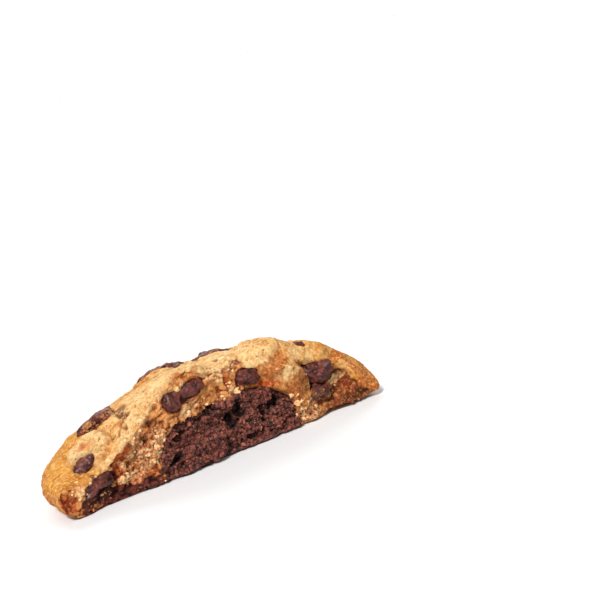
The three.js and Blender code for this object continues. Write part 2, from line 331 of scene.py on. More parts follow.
# %% Meshes from grids
def new_piece(name, points, faces, masks):
    """Puts points in millimetres, faces and masks into a mesh object in metres."""
    mesh = bpy.data.meshes.new(name)
    mesh.from_pydata(points * MM, [], faces)
    for key, values in masks.items():
        layer = mesh.attributes.new(key, "FLOAT", "POINT")
        layer.data.foreach_set("value", values.astype(np.float32).ravel())
    piece = bpy.data.objects.new(name, mesh)
    bpy.context.scene.collection.objects.link(piece)
    return piece


def closed_piece(name, points, masks, order=(0, 1, 2, 3)):
    """Quads between neighbouring closed loops of a grid; order turns them round on a grid that winds
    the other way. The doubles where loops or ends collapse are merged, and faces point outwards."""
    rows, around = points.shape[:2]
    i, k = np.meshgrid(np.arange(rows - 1), np.arange(around), indexing="ij")
    after = (k + 1) % around
    quads = [i * around + k, (i + 1) * around + k, (i + 1) * around + after, i * around + after]
    faces = np.stack([quads[n] for n in order], -1).reshape(-1, 4)
    piece = new_piece(name, points.reshape(-1, 3), faces, masks)
    work = bmesh.new()
    work.from_mesh(piece.data)
    bmesh.ops.remove_doubles(work, verts=work.verts, dist=1e-6)
    bmesh.ops.dissolve_degenerate(work, edges=work.edges, dist=1e-7)
    bmesh.ops.recalc_face_normals(work, faces=work.faces)
    work.to_mesh(piece.data)
    work.free()
    piece.data.shade_smooth()
    print(name, "triangles:", sum(len(p.vertices) - 2 for p in piece.data.polygons))
    return piece


def loft_cross(points):
    """Cross product of a loft's two grid directions: along its normal, as long as a quad is large."""
    along = np.gradient(points, axis=0)
    around = (np.roll(points, -1, axis=1) - np.roll(points, 1, axis=1)) / 2
    return np.cross(along, around)


def loft_normals(points):
    """Unit normals of a loft."""
    normal = loft_cross(points)
    return normal / np.maximum(np.linalg.norm(normal, axis=-1, keepdims=True), 1e-9)


# %% [markdown]
# ## Stations
# The loops are spaced evenly along the tear. They crowd together at the two tips, where the plan
# turns quickly, and at the two edges of the core, where the dough's hollow begins. The formula
# s = w(9 - w^8)/8 serves the tips: nearly straight in the middle, and level at both ends.

# %% Stations along the tear
def paced(count, pace):
    """Shares from 0 to 1 whose steps are proportional to pace(share)."""
    steps = pace((np.arange(count - 1) + 0.5) / (count - 1))
    return np.concatenate([[0], np.cumsum(steps)]) / steps.sum()


def stations(count, crowded=()):
    """Cosines of the stations' angles, from the left tip to the right tip, close together where crowded."""
    w = 2 * paced(count, lambda v: 1 + 0 * v - sum(rise(v, at, 0.016, 0.65) for at in crowded)) - 1
    return w * (9 - w**8) / 8


def plan(count, radius, crowded=()):
    """Stations of a round plan: x, and the depth of the plan's edge there."""
    cosine = stations(count, crowded)[:, None]
    angle = np.arccos(np.clip(cosine, -1, 1))
    return CENTRE_X + radius(angle) * cosine, radius(angle) * np.sin(angle)


print("middle step, mm:", round(float(np.diff(stations(440)).max() * RADIUS_LEFT), 2))

# %% [markdown]
# ## Where the chunks are
# The chunks come before the dough's surface, because the dough hugs them: it swells into a low ring
# round each one, and draws back behind it. Chunks in the crust are placed by their depth behind the
# tear and sunk below the crust, and chunks at the tear by their height, sunk behind its relief.

# %% Chunk places and sizes
# x, depth or z, how far it is sunk, size, turn, lean, and what sets it apart: `dusted` with crust,
# `gloss` where melted, `rugged` for its chips, `ring` for the dough's swell round it.
CRUST_CHUNKS = [
    (-25.1, 14.6, 0.7, (10.8, 7.2, 4.6), -0.7, 0.5, dict(dusted=0.85)),
    (-33.9, 5.9, 0.5, (6.2, 4.5, 3.6), -0.3, 0.45, dict(ring=0.35, rugged=0.5, gloss=1)),
    (-4.2, 19.4, 1.2, (11, 5, 3.2), -0.42, 0.1, dict(ring=0.4, dusted=0.5)),
    (7.3, 15.2, 0.9, (11.8, 5.2, 3.4), 0, 0, dict(ring=0.4, dusted=0.6)),
    (25.3, 2.8, 1.2, (4.8, 2.9, 2.8), 0.2, -0.4, dict(ring=0.4)),
    (20.5, 17.5, 0.9, (8, 6, 4), 0.9, -0.3, dict(dusted=0.7)),
    (32.5, 13, 0.9, (6.2, 5, 3.8), 0.4, -0.6, {}),
    (7.5, 29, 0.9, (8.5, 6.5, 4.2), 1.3, -0.5, dict(dusted=0.7)),
    (-3, 35.5, 1.1, (6.5, 5.5, 4), 2, -0.6, {}),
    (-16.5, 36, 1.1, (6, 4.8, 3.6), 2.4, -0.5, dict(dusted=0.7)),
    (22, 31.5, 0.8, (5.5, 4.6, 3.6), 0.8, -0.7, {}),
]
TEAR_CHUNKS = [
    (-12.5, 17.8, 1.2, (5, 5.2, 4.8), 0.2, 0, {}),
    (-6.8, 19.2, 0.9, (7.2, 4.6, 3.3), -0.2, 0.27, {}),
    (8.3, 16.8, 1, (6.4, 5, 4), 0.1, -0.1, {}),
    (27.5, 11.5, 0.9, (8, 6, 5.2), -0.2, -0.2, dict(rugged=2.0)),
    (27.1, 6.4, 0.9, (6.4, 5, 3.7), 0.3, -0.1, dict(rugged=1.6, dusted=0.6)),
    (-34.2, 5.9, 0.9, (8.6, 5.4, 3.6), 0.1, 0.22, dict(rugged=0.5, gloss=1)),
]
SQUARENESS = 2.7


def named(rows, place, first_seed):
    """Rows as dictionaries, each with a seed of its own."""
    keys = ("x", place, "sink", "size", "turn", "lean")
    return [dict(zip(keys, row), seed=first_seed + n, **row[-1]) for n, row in enumerate(rows)]


CHUNKS = named(CRUST_CHUNKS, "depth", 41) + named(TEAR_CHUNKS, "z", 61)


def chunk_place(chunk):
    """Middle of a chunk: sunk below the crust, or behind the torn face."""
    cx = np.array(chunk["x"])
    if "depth" in chunk:
        cd = np.array(chunk["depth"])
        return np.array([cx, TEAR_Y + cd, crust_height(cx, cd) - chunk["sink"]])
    cz = np.array(chunk["z"])
    return np.array([cx, TEAR_Y + dough_tear(cx, cz) + chunk["sink"], cz])


def chunk_turn(chunk):
    """Rotation of a chunk as columns: leaned about Y, then turned about Z."""
    lean, turn = Matrix.Rotation(-chunk["lean"], 3, "Y"), Matrix.Rotation(chunk["turn"], 3, "Z")
    return np.array(turn @ lean)


def block_norm(points, n):
    """How far out points lie, where a rounded block is 1: (|x|^n + |y|^n + |z|^n)^(1/n)."""
    return (np.abs(points) ** n).sum(-1, keepdims=True) ** (1 / n)


def chunk_reach(points, chunk):
    """How far out each point is, in chunk radii, in the chunk's own frame."""
    local = (points - chunk_place(chunk)) @ chunk_turn(chunk) / (np.array(chunk["size"]) / 2)
    return block_norm(local, SQUARENESS)[..., 0]


print(len(CRUST_CHUNKS), "chunks in the crust and", len(TEAR_CHUNKS), "at the tear")

# %% [markdown]
# ## The dough
# Each loop of the dough starts at the back of the hollow that holds the core, goes up its wall and
# along its ceiling to the tear, up the torn face, over the crust to the back edge, and home along
# the base. Outside the core there is no hollow, so those rows lie low on the face.

# %% Loops of the dough
COUNT = 440
CORE_EDGES = (0.313, 0.687)
HOLLOW, FACE, CRUST, BASE = 14, 90, 106, 14
WALL = 0.2


def dough_loops():
    """Grid of (x, depth, z) for the dough, before any relief."""
    x, rim = plan(COUNT, edge_radius, CORE_EDGES)
    across = np.clip((x - CENTRE_X) / CORE_RADIUS, -1, 1)
    core_rim = core_radius(np.arccos(across)) * np.sqrt(1 - across**2)
    in_core = np.abs(across) < 1

    q = np.linspace(0, 1, HOLLOW)[None, :]
    depth_h = core_rim * np.cos(np.pi / 2 * np.clip((q - WALL) / (1 - WALL), 0, 1))
    ceiling = core_height(x, np.minimum(depth_h, core_rim * 0.999))
    z_h = np.where(q < WALL, ceiling * q / WALL, ceiling)
    foot = base_height(x, 0 * x)
    beside = np.exp(-(np.abs(x - CENTRE_X) - CORE_RADIUS).clip(0) / 5)
    depth_h = np.where(in_core, depth_h, 0)
    z_h = np.where(in_core, z_h, foot + (CORE_RIM - foot).clip(0) * beside * q)

    q = np.linspace(0, 1, FACE)[None, :]
    z_f = z_h[:, -1:] + (crust_height(x, 0 * x) - z_h[:, -1:]) * q

    q = paced(CRUST, lambda v: (0.35 + 1.2 * smooth(0, 0.7, v)) * (1 - 0.97 * v**6))[None, :]
    depth_c = rim * q
    z_c = crust_height(x, depth_c)

    q = np.linspace(1, 0, BASE)[None, :]
    depth_b = core_rim * in_core + (rim - core_rim * in_core) * np.sin(np.pi / 2 * q)
    z_b = base_height(x, depth_b)

    depth = np.concatenate([depth_h, 0 * z_f[:, 1:], depth_c[:, 1:], depth_b[:, 1:-1]], 1)
    z = np.concatenate([z_h, z_f[:, 1:], z_c[:, 1:], z_b[:, 1:-1]], 1)
    return np.stack([x + 0 * depth, depth, z], -1)


def blunt(x):
    """Rounds off both ends: past 40 mm, x closes in on its limit with a power, and stops level."""
    start, length = 40, 3.5
    ends = [length * (1 - (1 - np.clip((side * x - start) / room, 0, 1)) ** (room / length))
            for side, room in ((1, 4.9), (-1, 5.1))]
    return np.clip(x, -start, start) + ends[0] - ends[1]


loops = dough_loops()
loops[..., 0] = blunt(loops[..., 0])
row = np.arange(loops.shape[1])
in_core = np.abs(loops[:, :1, 0] - CENTRE_X) < CORE_RADIUS
first_row = np.where(in_core, smooth(HOLLOW - 4, HOLLOW, row), smooth(-1, 3, row))
face_row = first_row * (1 - smooth(HOLLOW + FACE - 3, HOLLOW + FACE + 1, row))
print("dough grid:", loops.shape[:2])

# %% [markdown]
# A real tear has no sharp corners: the crust curls over it, and the dough's lower lip is soft. So
# the loops are smoothed along themselves near those corners, before the relief goes on.

# %% Round the lips and add the tear
def round_corner(points, at, reach, passes):
    """Moves points near a row of each loop towards the middle of their neighbours."""
    pull = rise(np.arange(points.shape[1]), at, reach, 0.5)[None, :, None]
    for _ in range(passes):
        middle = (np.roll(points, 1, axis=1) + np.roll(points, -1, axis=1)) / 2
        points = points + pull * (middle - points)
    return points


loops = round_corner(loops, HOLLOW + FACE - 2, 9, 40)
loops = round_corner(loops, HOLLOW - 1, 5, 14)
loops = round_corner(loops, 0, 3, 8)
x, depth, z = np.moveaxis(loops, -1, 0)
deepest = depth.max(axis=1, keepdims=True)
near_tear = 1 - smooth(0, np.clip(0.8 * deepest, 0.5, 6), depth)
y = TEAR_Y + depth + (dough_tear(x, z) - lip_swell(x, z)) * near_tear * smooth(0, 7, deepest)
overhang = 4 * tongue(x, z, 0.5) * (1 - tongue(x, z, 0.5)) * near_tear * face_row
aside, sag = 0.5 * overhang * smooth(16, 20, x), 0.3 * overhang * (1 - smooth(9, 13, z))
body = np.stack([x + aside, y, z - sag], -1)
print("front of the dough, mm:", round(float(y.min()), 1))

# %% [markdown]
# ## What the dough is like, place by place
# The masks say where the crumb is coarse, where the dough is soft and smooth, where it has baked
# hard, and where chocolate has melted into it. They steer the fine relief now and the colours later.
# Each is made of ovals whose borders wander with noise, because nothing in a dough is sharp.

# %% Masks of the torn dough
def sized(field, points, size, *settings):
    """A random field read at points in millimetres, with features of about `size`."""
    return field(*np.moveaxis(points / size, -1, 0), *settings)


def wander(seed):
    """Slow and quick noise that moves the borders of the masks, in millimetres."""
    return 1.3 * sized(noise, loops, 2.2, seed) + 0.5 * sized(noise, loops, 0.8, seed + 1)


def patches(stray, *ovals):
    """Highest of several ovals on the tear, their borders moved by stray times the wandering. An oval
    is its strength, middle x and z, half length, half width, lean and softness."""
    u, v = x + stray * wander_x, z + stray * wander_z
    return np.max([strength * oval(u, v, *shape) for strength, *shape in ovals], axis=0)


wander_x, wander_z = wander(71), wander(73)
blend = 0.3 + rise(x, 18.5, 4.5, 1.3) + rise(x, -9.5, 5, 0.8) + rise(x, -20, 6, 0.9) + smooth(-38, -42, x)
rolled = smooth(-blend, blend, z - lip_height(x))
for low_place in ((18.2, 15.6, 3.6, 2.6, 0.3, 0.5), (-9.3, 20.4, 5.4, 1.1, 0.22, 0.6)):
    rolled = np.maximum(rolled, oval(x, z, *low_place))
torn = face_row * (1 - rolled)
skin = 1 - torn
soft = patches(0.6, (0.5, -2.5, 17, 2.8, 3, 0, 0.4), (0.6, 4.5, 16.6, 2.4, 1.8, 0, 0.4),
               (0.8, 12, 14.6, 3.2, 2.4, 0, 0.4))
soft = np.maximum(soft, tongue(x, z, 0.25)) * torn
caramel = torn * patches(
    0.7, (1, -27.4, 10.7, 2.9, 1.9, 0.35, 0.35), (1, -29.2, 7.4, 1.4, 2.1, 0, 0.35),
    (1, 12.9, 13.7, 2, 1.2, 0, 0.35), (0.5, -19.9, 13.8, 1.2, 4.6, -0.35, 0.5),
    (0.8, 2.6, 17.8, 1, 2.2, 0.2, 0.5), (0.25, 34, 6, 3.5, 1.6, -0.6, 0.5),
    (0.9, -42.4, 5, 2, 3.4, 0.3, 0.5), (0.55, -20.6, 3.9, 6.4, 1.4, 0.05, 0.4),
    (0.7, 10.9, 15.4, 1, 1.6, 0, 0.5))
melt = torn * patches(
    0.5, (1, -33.6, 5.2, 5, 2.2, 0.30, 0.3), (1, -34, 3.2, 5.6, 1.7, 0, 0.3),
    (1, -9.3, 18.5, 5.4, 1.6, 0.22, 0.3), (0.9, 26.8, 6.2, 3.6, 1.9, -0.2, 0.4),
    (0.8, 27.5, 11.4, 4.6, 3.2, -0.2, 0.3), (1, 8.4, 16.9, 3.4, 2.1, 0.1, 0.25))
strip = torn * patches(0.7, (1, -29.6, 1.2, 9.9, 2.4, 0, 0.2), (0.6, -19, 0.9, 3, 2, 0, 0.4))
coarse = torn * (1 - soft) * (1 - strip) * (1 - 0.8 * caramel) * patches(
    1, (1, -24.5, 7.5, 9.5, 5.2, 0.55, 0.25), (1, 1.2, 20.3, 4.6, 1.8, 0, 0.3),
    (1, 20.6, 2.8, 5, 3.2, 0, 0.3), (0.5, -39.3, 6.2, 1.6, 1.2, 0, 0.5),
    (0.9, 4.4, 15.2, 1.8, 1.4, 0, 0.3), (1, -16.4, 19.2, 2.4, 1.3, 0.5, 0.4),
    (0.8, -8.2, 14.9, 3.2, 1.3, 0.1, 0.4), (1, 31.8, 7.4, 2.3, 2.1, 0.3, 0.4))
shade_line = torn * patches(0.5, (0.6, -19.6, 15.6, 0.9, 3.8, -0.35, 0.5),
                            (0.8, 24.5, 9, 1.6, 5.5, 0.1, 0.4))
# Pits and dark lines under lumps: dents in the relief, and painted shade in the colours.
pits = torn * patches(
    0.4, (1, -18.4, 14.6, 0.9, 0.8, 0.2, 0.4), (0.9, 11.3, 11.7, 1.5, 0.35, 0.1, 0.4),
    (0.9, 32.6, 9.4, 1.3, 0.6, 0.2, 0.4), (0.9, 38.9, 5, 2.8, 0.45, -0.85, 0.5),
    (0.9, 23.8, 15, 1.5, 0.5, -0.7, 0.4), (0.8, -20.9, 11, 0.5, 0.8, 0, 0.4),
    (0.8, -25.8, 7.4, 0.6, 0.5, 0, 0.4), (0.7, -22.6, 8.8, 0.5, 0.7, 0, 0.4))
hard = smooth(25, 31.5, x + wander_x + 0.7 * (5 - z).clip(0, 3))
hard = np.maximum(hard, 1 - smooth(-42.5, -39.5, x + wander_x)) * torn * (1 - coarse)
print("share of the loops that is torn:", round(float(torn.mean()), 2))

# %% [markdown]
# The crust has its own landmarks: a round bulge with a chunk in it, bounded by a crease, a fine
# crack running down from a smear of chocolate, a short split near the top, and a ragged front edge.

# %% Landmarks of the crust
def crease(width, *points):
    """1 along a line through (x, depth) points, fading with the distance to its nearest stretch."""
    nearest = np.full(x.shape, 99)
    for (ax, ad), (bx, bd) in zip(points[:-1], points[1:]):
        run_x, run_d = bx - ax, bd - ad
        share = ((x - ax) * run_x + (depth - ad) * run_d) / (run_x**2 + run_d**2)
        share = np.clip(share, 0, 1)
        nearest = np.minimum(nearest, np.hypot(x - ax - share * run_x, depth - ad - share * run_d))
    return rise(nearest, 0, width, 1) * skin


def on_crust(stray_x, stray_d, *shape):
    """An oval over the plan, its border moved by the wandering."""
    return oval(x + stray_x * wander_x, depth + stray_d * wander_z, *shape)


BULGE = (-31.2, 7.6, 5.3, 4.7, -0.35)
SPOTS = [(-20.4, 10.4, 1, 0.9), (-21.7, 7.4, 0.7, 0.6), (-21.9, 5.4, 0.8, 0.5), (-25.8, 4.2, 0.5, 0.4),
         (-23.1, 2.9, 0.6, 0.8), (-20.7, 5.4, 0.5, 0.4), (-28.2, 4.9, 0.3, 0.3), (-28, 7, 0.3, 0.3),
         (-18.8, 4.8, 0.3, 0.3), (-17.6, 2.6, 0.4, 0.3), (-0.6, 3.2, 0.8, 0.3), (3.3, 4.3, 0.6, 0.8),
         (6, 2.3, 0.9, 0.4), (6.1, 5.4, 0.6, 0.6), (-40, 7.8, 0.8, 0.3), (0.7, 14, 0.4, 0.5),
         (-12, 3, 0.3, 0.3)]
bulge = on_crust(0.35, 0.3, *BULGE, 0.18) * (z > 6)
# The crease round the bulge is a groove, and its colour gets a painted shade.
rim = on_crust(0.35, 0.3, *BULGE, 0.34) * (1 - bulge) * (z > 6)
crack = np.max([crease(0.22, (-21.9, 5.6), (-23, 5.6), (-23.7, 4.6), (-25.2, 3.6)),
                crease(0.25, (-2.8, 5.4), (-2.4, 3.6), (-2.9, 2.2), (-2.4, 1)),
                crease(0.35, (-9.2, 15.2), (-4.5, 14.6), (-1, 15.4))], axis=0)
fold = np.maximum(crease(0.5, (-30.5, 2.4), (-27, 4.2), (-24.8, 3.2)),
                  crease(0.45, (-29.2, 19), (-28, 15.6), (-26.9, 10.4), (-26.3, 6.6), (-26, 4.3)))
stain = skin * np.maximum(on_crust(0.8, 0.8, -21.3, 8.6, 1.1, 2, 0.3, 0.5),
                          on_crust(0.4, 0.4, -21.6, 5.8, 1, 0.7, 0.2, 0.4))
crumble = on_crust(1, 1, -22.2, 5.6, 2.2, 1.6, 0, 0.5) * skin
halo = on_crust(0.6, 0.4, -31.4, 8.9, 2.2, 1.2, -0.3, 0.5)
spots = np.max([on_crust(0.5, 0.5, *spot, 0, 0.5) for spot in SPOTS], axis=0) * skin
ragged = skin * (1 - smooth(0.6, 4.2, depth + 0.8 * wander_x))
ragged = ragged * (1 - smooth(4, 9, x)) * smooth(-38, -34, x)
print("bulge covers", round(float(bulge.mean()), 3))

# %% [markdown]
# The crust's colours follow the oven's heat. It is pale where it is high and near the tear, brown
# where it is low and thin, with warmer blotches on the lobe and cream where crumb shows through.

# %% Masks of the crust
pale = (1 - smooth(3, 31, depth + 3 * wander_x)) * smooth(-34, -21, x + 2 * wander_x)
pale = pale * (1 - 0.4 * smooth(8, 16, x + wander_x)) * (1 - 0.5 * smooth(18, 32, x + 2 * wander_x))
pale = pale * (1 - hill(x, depth, -12, 9, 7, 5, 0.4))
left_edge = smooth(-36, -29, x + wander_x) * (1 - smooth(2, 6, depth + wander_x)) * (x < -20)
pale = np.maximum(pale, left_edge)
front = 1 - smooth(0.5, 3, depth)
blotch = front * patches(
    1, (1.35, 13.6, 17.4, 2.6, 1.4, 0.2, 0.9), (1.35, 17, 17.2, 2.7, 1.4, 0.3, 0.9),
    (0.9, 15.6, 15.6, 2, 1.2, 0, 0.9), (0.8, 35, 12.2, 3.4, 1, -0.8, 0.5),
    (1, 40, 5, 3.6, 2.2, -0.7, 0.5), (0.7, 37, 8.6, 1.4, 1, 0, 0.5),
    (1.1, -7.8, 21.8, 5.4, 1.4, 0.22, 0.8))
cream = front * patches(
    1, (0.75, 17.6, 14.4, 2.9, 1.5, 0.4, 0.9), (0.8, 13, 18.9, 0.7, 1.2, 0.2, 0.7),
    (0.7, -39.3, 6.2, 1.3, 1, 0, 0.7), (0.6, 15.6, 15.2, 0.8, 0.8, 0, 0.8),
    (0.8, 0.8, 19.6, 1.6, 1.3, 0, 0.6), (0.7, 4, 15.4, 1.4, 0.9, 0, 0.6),
    (0.8, 32.2, 7.3, 1.9, 1.4, 0.3, 0.6))
# A painted highlight along the tongue's right edge, laid on as cream.
tongue_edge_highlight = tongue(x, z, 0.2) * (1 - tongue(x, z, 0.2)) * smooth(17.5, 21, x - 0.4 * (z - 9))
cream = np.maximum(cream, 2.6 * tongue_edge_highlight * torn)
brown = 0.8 * (1 - smooth(1, 7, z - base_height(x, np.minimum(depth, 40)) + wander_z))
right_end = 0.5 * smooth(31, 42, x + wander_x) * (1 - smooth(2, 12, depth))
brown = np.clip(np.maximum(brown, blotch) + right_end, 0, 1)
print("mean of the brown mask:", round(float(brown.mean()), 2))

# %% [markdown]
# The fine relief is a height along the surface's own normal. Coarse crumb is a pile of broken
# grains that stand at different heights, soft dough is nearly smooth, and the crust has low dimples,
# pin holes and a few cracks. Round the chunks the dough swells, and behind them it draws back.

# %% Piled grains
def pile(points, size, seed):
    """Broken grains: per warped cell a low dome, a random step and a random tilt, with grooves between."""
    warp = [0.45 * sized(noise, points, size, n) + 0.2 * sized(noise, points, size / 2.7, n + 3)
            for n in range(seed + 5, seed + 8)]
    near, after, tag, slope = grains(*np.moveaxis(points / size, -1, 0) + warp, seed)
    dome = np.sqrt(np.clip(1 - (near / 0.95) ** 2, 0, 1))
    inside = smooth(0.0, 0.22, after - near)
    return inside * (0.2 * dome + 0.9 * (tag - 0.5) + 1.5 * slope) - 0.25 * (1 - inside), inside, tag


def hug(points):
    """Swell round the chunks and dip behind them, in millimetres along the normal."""
    push = np.zeros(points.shape[:-1])
    for chunk in CHUNKS:
        reach = chunk_reach(points, chunk)
        swell, dip = (chunk.get("ring", 0.1), 2.2) if "depth" in chunk else (0.55, 1.0)
        push = push + swell * rise(reach, 1.22, 0.2, 1) - dip * (1 - smooth(0.78, 1.02, reach))
    return push


pushed = hug(body)
print("dough pushed by its chunks, mm:", round(float(pushed.min()), 1), "to", round(float(pushed.max()), 1))

# %% [markdown]
# Three reliefs are mixed by the masks: coarse crumb, plain crumb and soft dough. The same grains
# give the masks `gap`, a painted shade between grains, and `grain`, a tone that varies at random
# and is higher on raised knots, a painted light, so that colour and relief agree wherever one looks.

# %% Fine relief of the dough
big, big_inside, big_tag = pile(body, 1.9, 81)
small, small_inside, small_tag = pile(body, 0.95, 85)
knots = sized(billow, body, 1.5, 181, 3)
crumb = 0.6 * big + 0.4 * small + 0.6 * knots + 0.35 * sized(billow, body, 0.8, 197, 2)
plain = 0.25 * big + 0.15 * small + 0.8 * knots + 0.3 * sized(rough, body, 3, 93, 2)
silky = 0.35 * sized(rough, body, 2.6, 95, 4) + 0.25 * sized(billow, body, 2.2, 185, 3)
face = silky * soft + (1 - soft) * (plain + (crumb - plain) * np.maximum(coarse, 0.9 * strip))
face = face * (1 - 0.6 * melt) * (1 - 0.2 * hard) - 0.35 * caramel - 0.6 * shade_line - pits
dimple = 0.30 * sized(rough, body, 5, 101, 3) + 0.38 * sized(billow, body, 4.2, 191, 2)
dimple = dimple + 0.26 * sized(billow, body, 1.3, 195, 3) - 0.7 * crack - 0.45 * fold - 0.5 * spots
dimple = dimple + crumble * (0.7 * small - 0.3) + cream * (0.5 * small + 0.15)
dimple = dimple + 0.4 * ragged * (small + knots)
near, _, tag, _ = sized(grains, body, 1.9, 121)
hole = np.where(tag > 0.72, 1 - smooth(0.08, 0.20, near), 0) * skin
height = torn * face + skin * (dimple + 1.3 * bulge - 0.7 * rim - 0.28 * hole) + pushed
lifted = smooth(0.25, 1.2, body[..., 2]) * smooth(0.5, 6, deepest)
body = body + loft_normals(body) * (height * lifted)[..., None]
body[..., 2] = np.maximum(body[..., 2], 0)

crumbly = torn * (1 - soft)
# Painted shade: `gap` is high where grains end, in the pile's low places and between the knots.
gap = 0.6 - 0.3 * (big_inside + small_inside) + 0.6 * np.clip(-big, 0, 1)
gap = gap + 1.6 * np.clip(-knots - 0.02, 0, 1)
gap = gap * crumbly * (1 - melt) * (0.55 + 0.45 * np.maximum(coarse, strip))
# `grain` varies at random from grain to grain and is higher on raised knots, which paints light on them.
grain = crumbly * (0.5 * big_tag + 0.2 * small_tag + 0.9 * (knots + 0.15)) + 0.5 * (1 - crumbly)
# `relief` is the crust's dimple height; colour follows it, painting shade into dimples, cracks and folds.
relief = np.clip(0.5 + 0.9 * dimple, 0, 1) * skin + 0.5 * torn
base_row = HOLLOW + FACE + CRUST
under = smooth(base_row - 3, base_row, row) * smooth(-37, -33, x) * (1 - smooth(16, 20, x))
foot = (z < 0.8) * torn * smooth(-37, -34, x) * (1 - smooth(17, 19, x))
# Painted shade in pin holes, cracks, pits and between ragged grains, together with brown spots.
hole_shade_and_spots = np.max([hole, crack, pits, spots, 0.4 * ragged * (1 - small_inside)], axis=0)
masks = dict(torn=np.maximum(torn, row < HOLLOW), under=np.maximum(under, foot), soft=soft, coarse=coarse,
             caramel=caramel, melt=melt, strip=strip, shade=shade_line, hard=hard, pale=pale,
             brown=brown, gap=np.clip(gap, 0, 1), grain=grain, hole=hole_shade_and_spots, stain=stain,
             rim=np.clip(rim * 2, 0, 1), bulge=bulge, halo=halo, cream=cream, relief=relief)
dough = closed_piece("cookie_dough", body, masks)

# %% [markdown]
# ## The brownie core
# The core is lofted the same way: each loop goes up its torn face, back over its top and home along
# its underside. Its crumb is finer and wetter than the dough's, so the grains are packed, with deep
# dark holes.

# %% Loft of the core
CORE_COUNT = 330
CORE_FACE, CORE_TOP, CORE_UNDER = 110, 34, 16
CORE_WALL = 0.85


def core_loops():
    """Grid of (x, depth, z) for the core, before its relief."""
    x, rim = plan(CORE_COUNT, core_radius)
    z_f = CORE_BASE + (core_height(x, 0 * x) - CORE_BASE) * np.linspace(0, 1, CORE_FACE)[None, :]
    q = np.linspace(0, 1, CORE_TOP)[None, :]
    depth_t = rim * np.sin(np.pi / 2 * np.clip(q / CORE_WALL, 0, 1))
    z_t = core_height(x, np.minimum(depth_t, rim * 0.999))
    back_wall = CORE_BASE + (z_t - CORE_BASE) * (1 - (q - CORE_WALL) / (1 - CORE_WALL))
    z_t = np.where(q > CORE_WALL, back_wall, z_t)
    depth_u = rim * np.linspace(1, 0, CORE_UNDER)[None, 1:-1]
    depth = np.concatenate([0 * z_f, depth_t[:, 1:], depth_u], 1)
    z = np.concatenate([z_f, z_t[:, 1:], CORE_BASE + 0 * depth_u], 1)
    return np.stack([x + 0 * depth, depth, z], -1)


core = round_corner(core_loops(), CORE_FACE - 1, 7, 20)
core = round_corner(core, 0, 5, 12)
cx, cdepth, cz = np.moveaxis(core, -1, 0)
core_body = np.stack([cx, TEAR_Y + cdepth + brownie_tear(cx, cz) * (1 - smooth(0, 5, cdepth)), cz], -1)
print("core grid:", core.shape[:2])

# %% [markdown]
# The eight deepest holes have places of their own, because they are what the eye catches first.
# Each is an oval with a lean of its own.

# %% Crumb of the core
# Middle x, middle z, half length, half width, lean.
PITS = [(4.3, 10.2, 1.3, 2.2, 0.2), (1.6, 7.6, 1.3, 2.1, 0.3), (10.3, 7, 1, 1.9, 0.3),
        (13.8, 8.6, 2.3, 1.2, 0.6), (-4, 12.2, 1.8, 0.8, 0.3), (-12, 9.5, 2.8, 0.7, 0.25),
        (6.5, 3, 1.2, 0.7, 0.2), (-14.5, 4.6, 2, 0.6, 0.2)]


def core_relief(points, bare):
    """Piled grains of two sizes on slow lumps, with pits: height, painted shade, tone lighter on lumps."""
    big, big_inside, big_tag = pile(points, 3, 131)
    small, small_inside, small_tag = pile(points, 1.25, 135)
    knots, fine = sized(billow, points, 1.3, 187, 4), sized(billow, points, 0.55, 193, 2)
    slow = sized(rough, points, (4.5, 4.5, 3.2), 141, 3)
    u, v = (points[..., axis] + 0.7 * sized(noise, points, (1.1, 1, 1.1), seed)
            for axis, seed in ((0, 151), (2, 152)))
    pit = np.max([oval(u, v, *shape, 0.5) for shape in PITS], axis=0)
    height = 0.5 * big + 0.35 * small + 0.4 * knots + 0.6 * fine + 1.3 * slow - 1.9 * pit
    # Painted shade: `dark` is high where grains end, in low places and in the pits.
    dark = 0.28 * (1 - small_inside) + 0.24 * (1 - big_inside) + 0.4 * np.clip(-slow - 0.05, 0, 1)
    dark = dark + 0.8 * pit + np.clip(0.02 - knots, 0, 1) + 1.5 * np.clip(-fine - 0.08, 0, 1)
    # The tone varies at random per grain and is higher on raised knots and fine lumps, a painted light.
    tone = 0.25 * big_tag + 0.2 * small_tag + 0.5 * (knots + 0.2) + (fine + 0.1)
    return height * bare, np.clip(dark, 0, 1) * bare, tone


bare = 1 - 0.75 * smooth(0, 1.5, cdepth)
core_lift, core_gap_shade, core_tone_and_lump_light = core_relief(core_body, bare)
core_lift = core_lift * smooth(0.3, 1.2, core_body[..., 2])
core_body = core_body + loft_normals(core_body) * core_lift[..., None]
core_body[..., 2] = np.maximum(core_body[..., 2], 0.1)
brownie = closed_piece("brownie_core", core_body, {"gap": core_gap_shade, "grain": core_tone_and_lump_light})

# %% [markdown]
# ## Chocolate chunks
# A baked chunk is a block whose corners have softened. It is made as a rounded block from two
# angles, dented by noise and chipped. The places and sizes are those of the solids that it stands
# for.

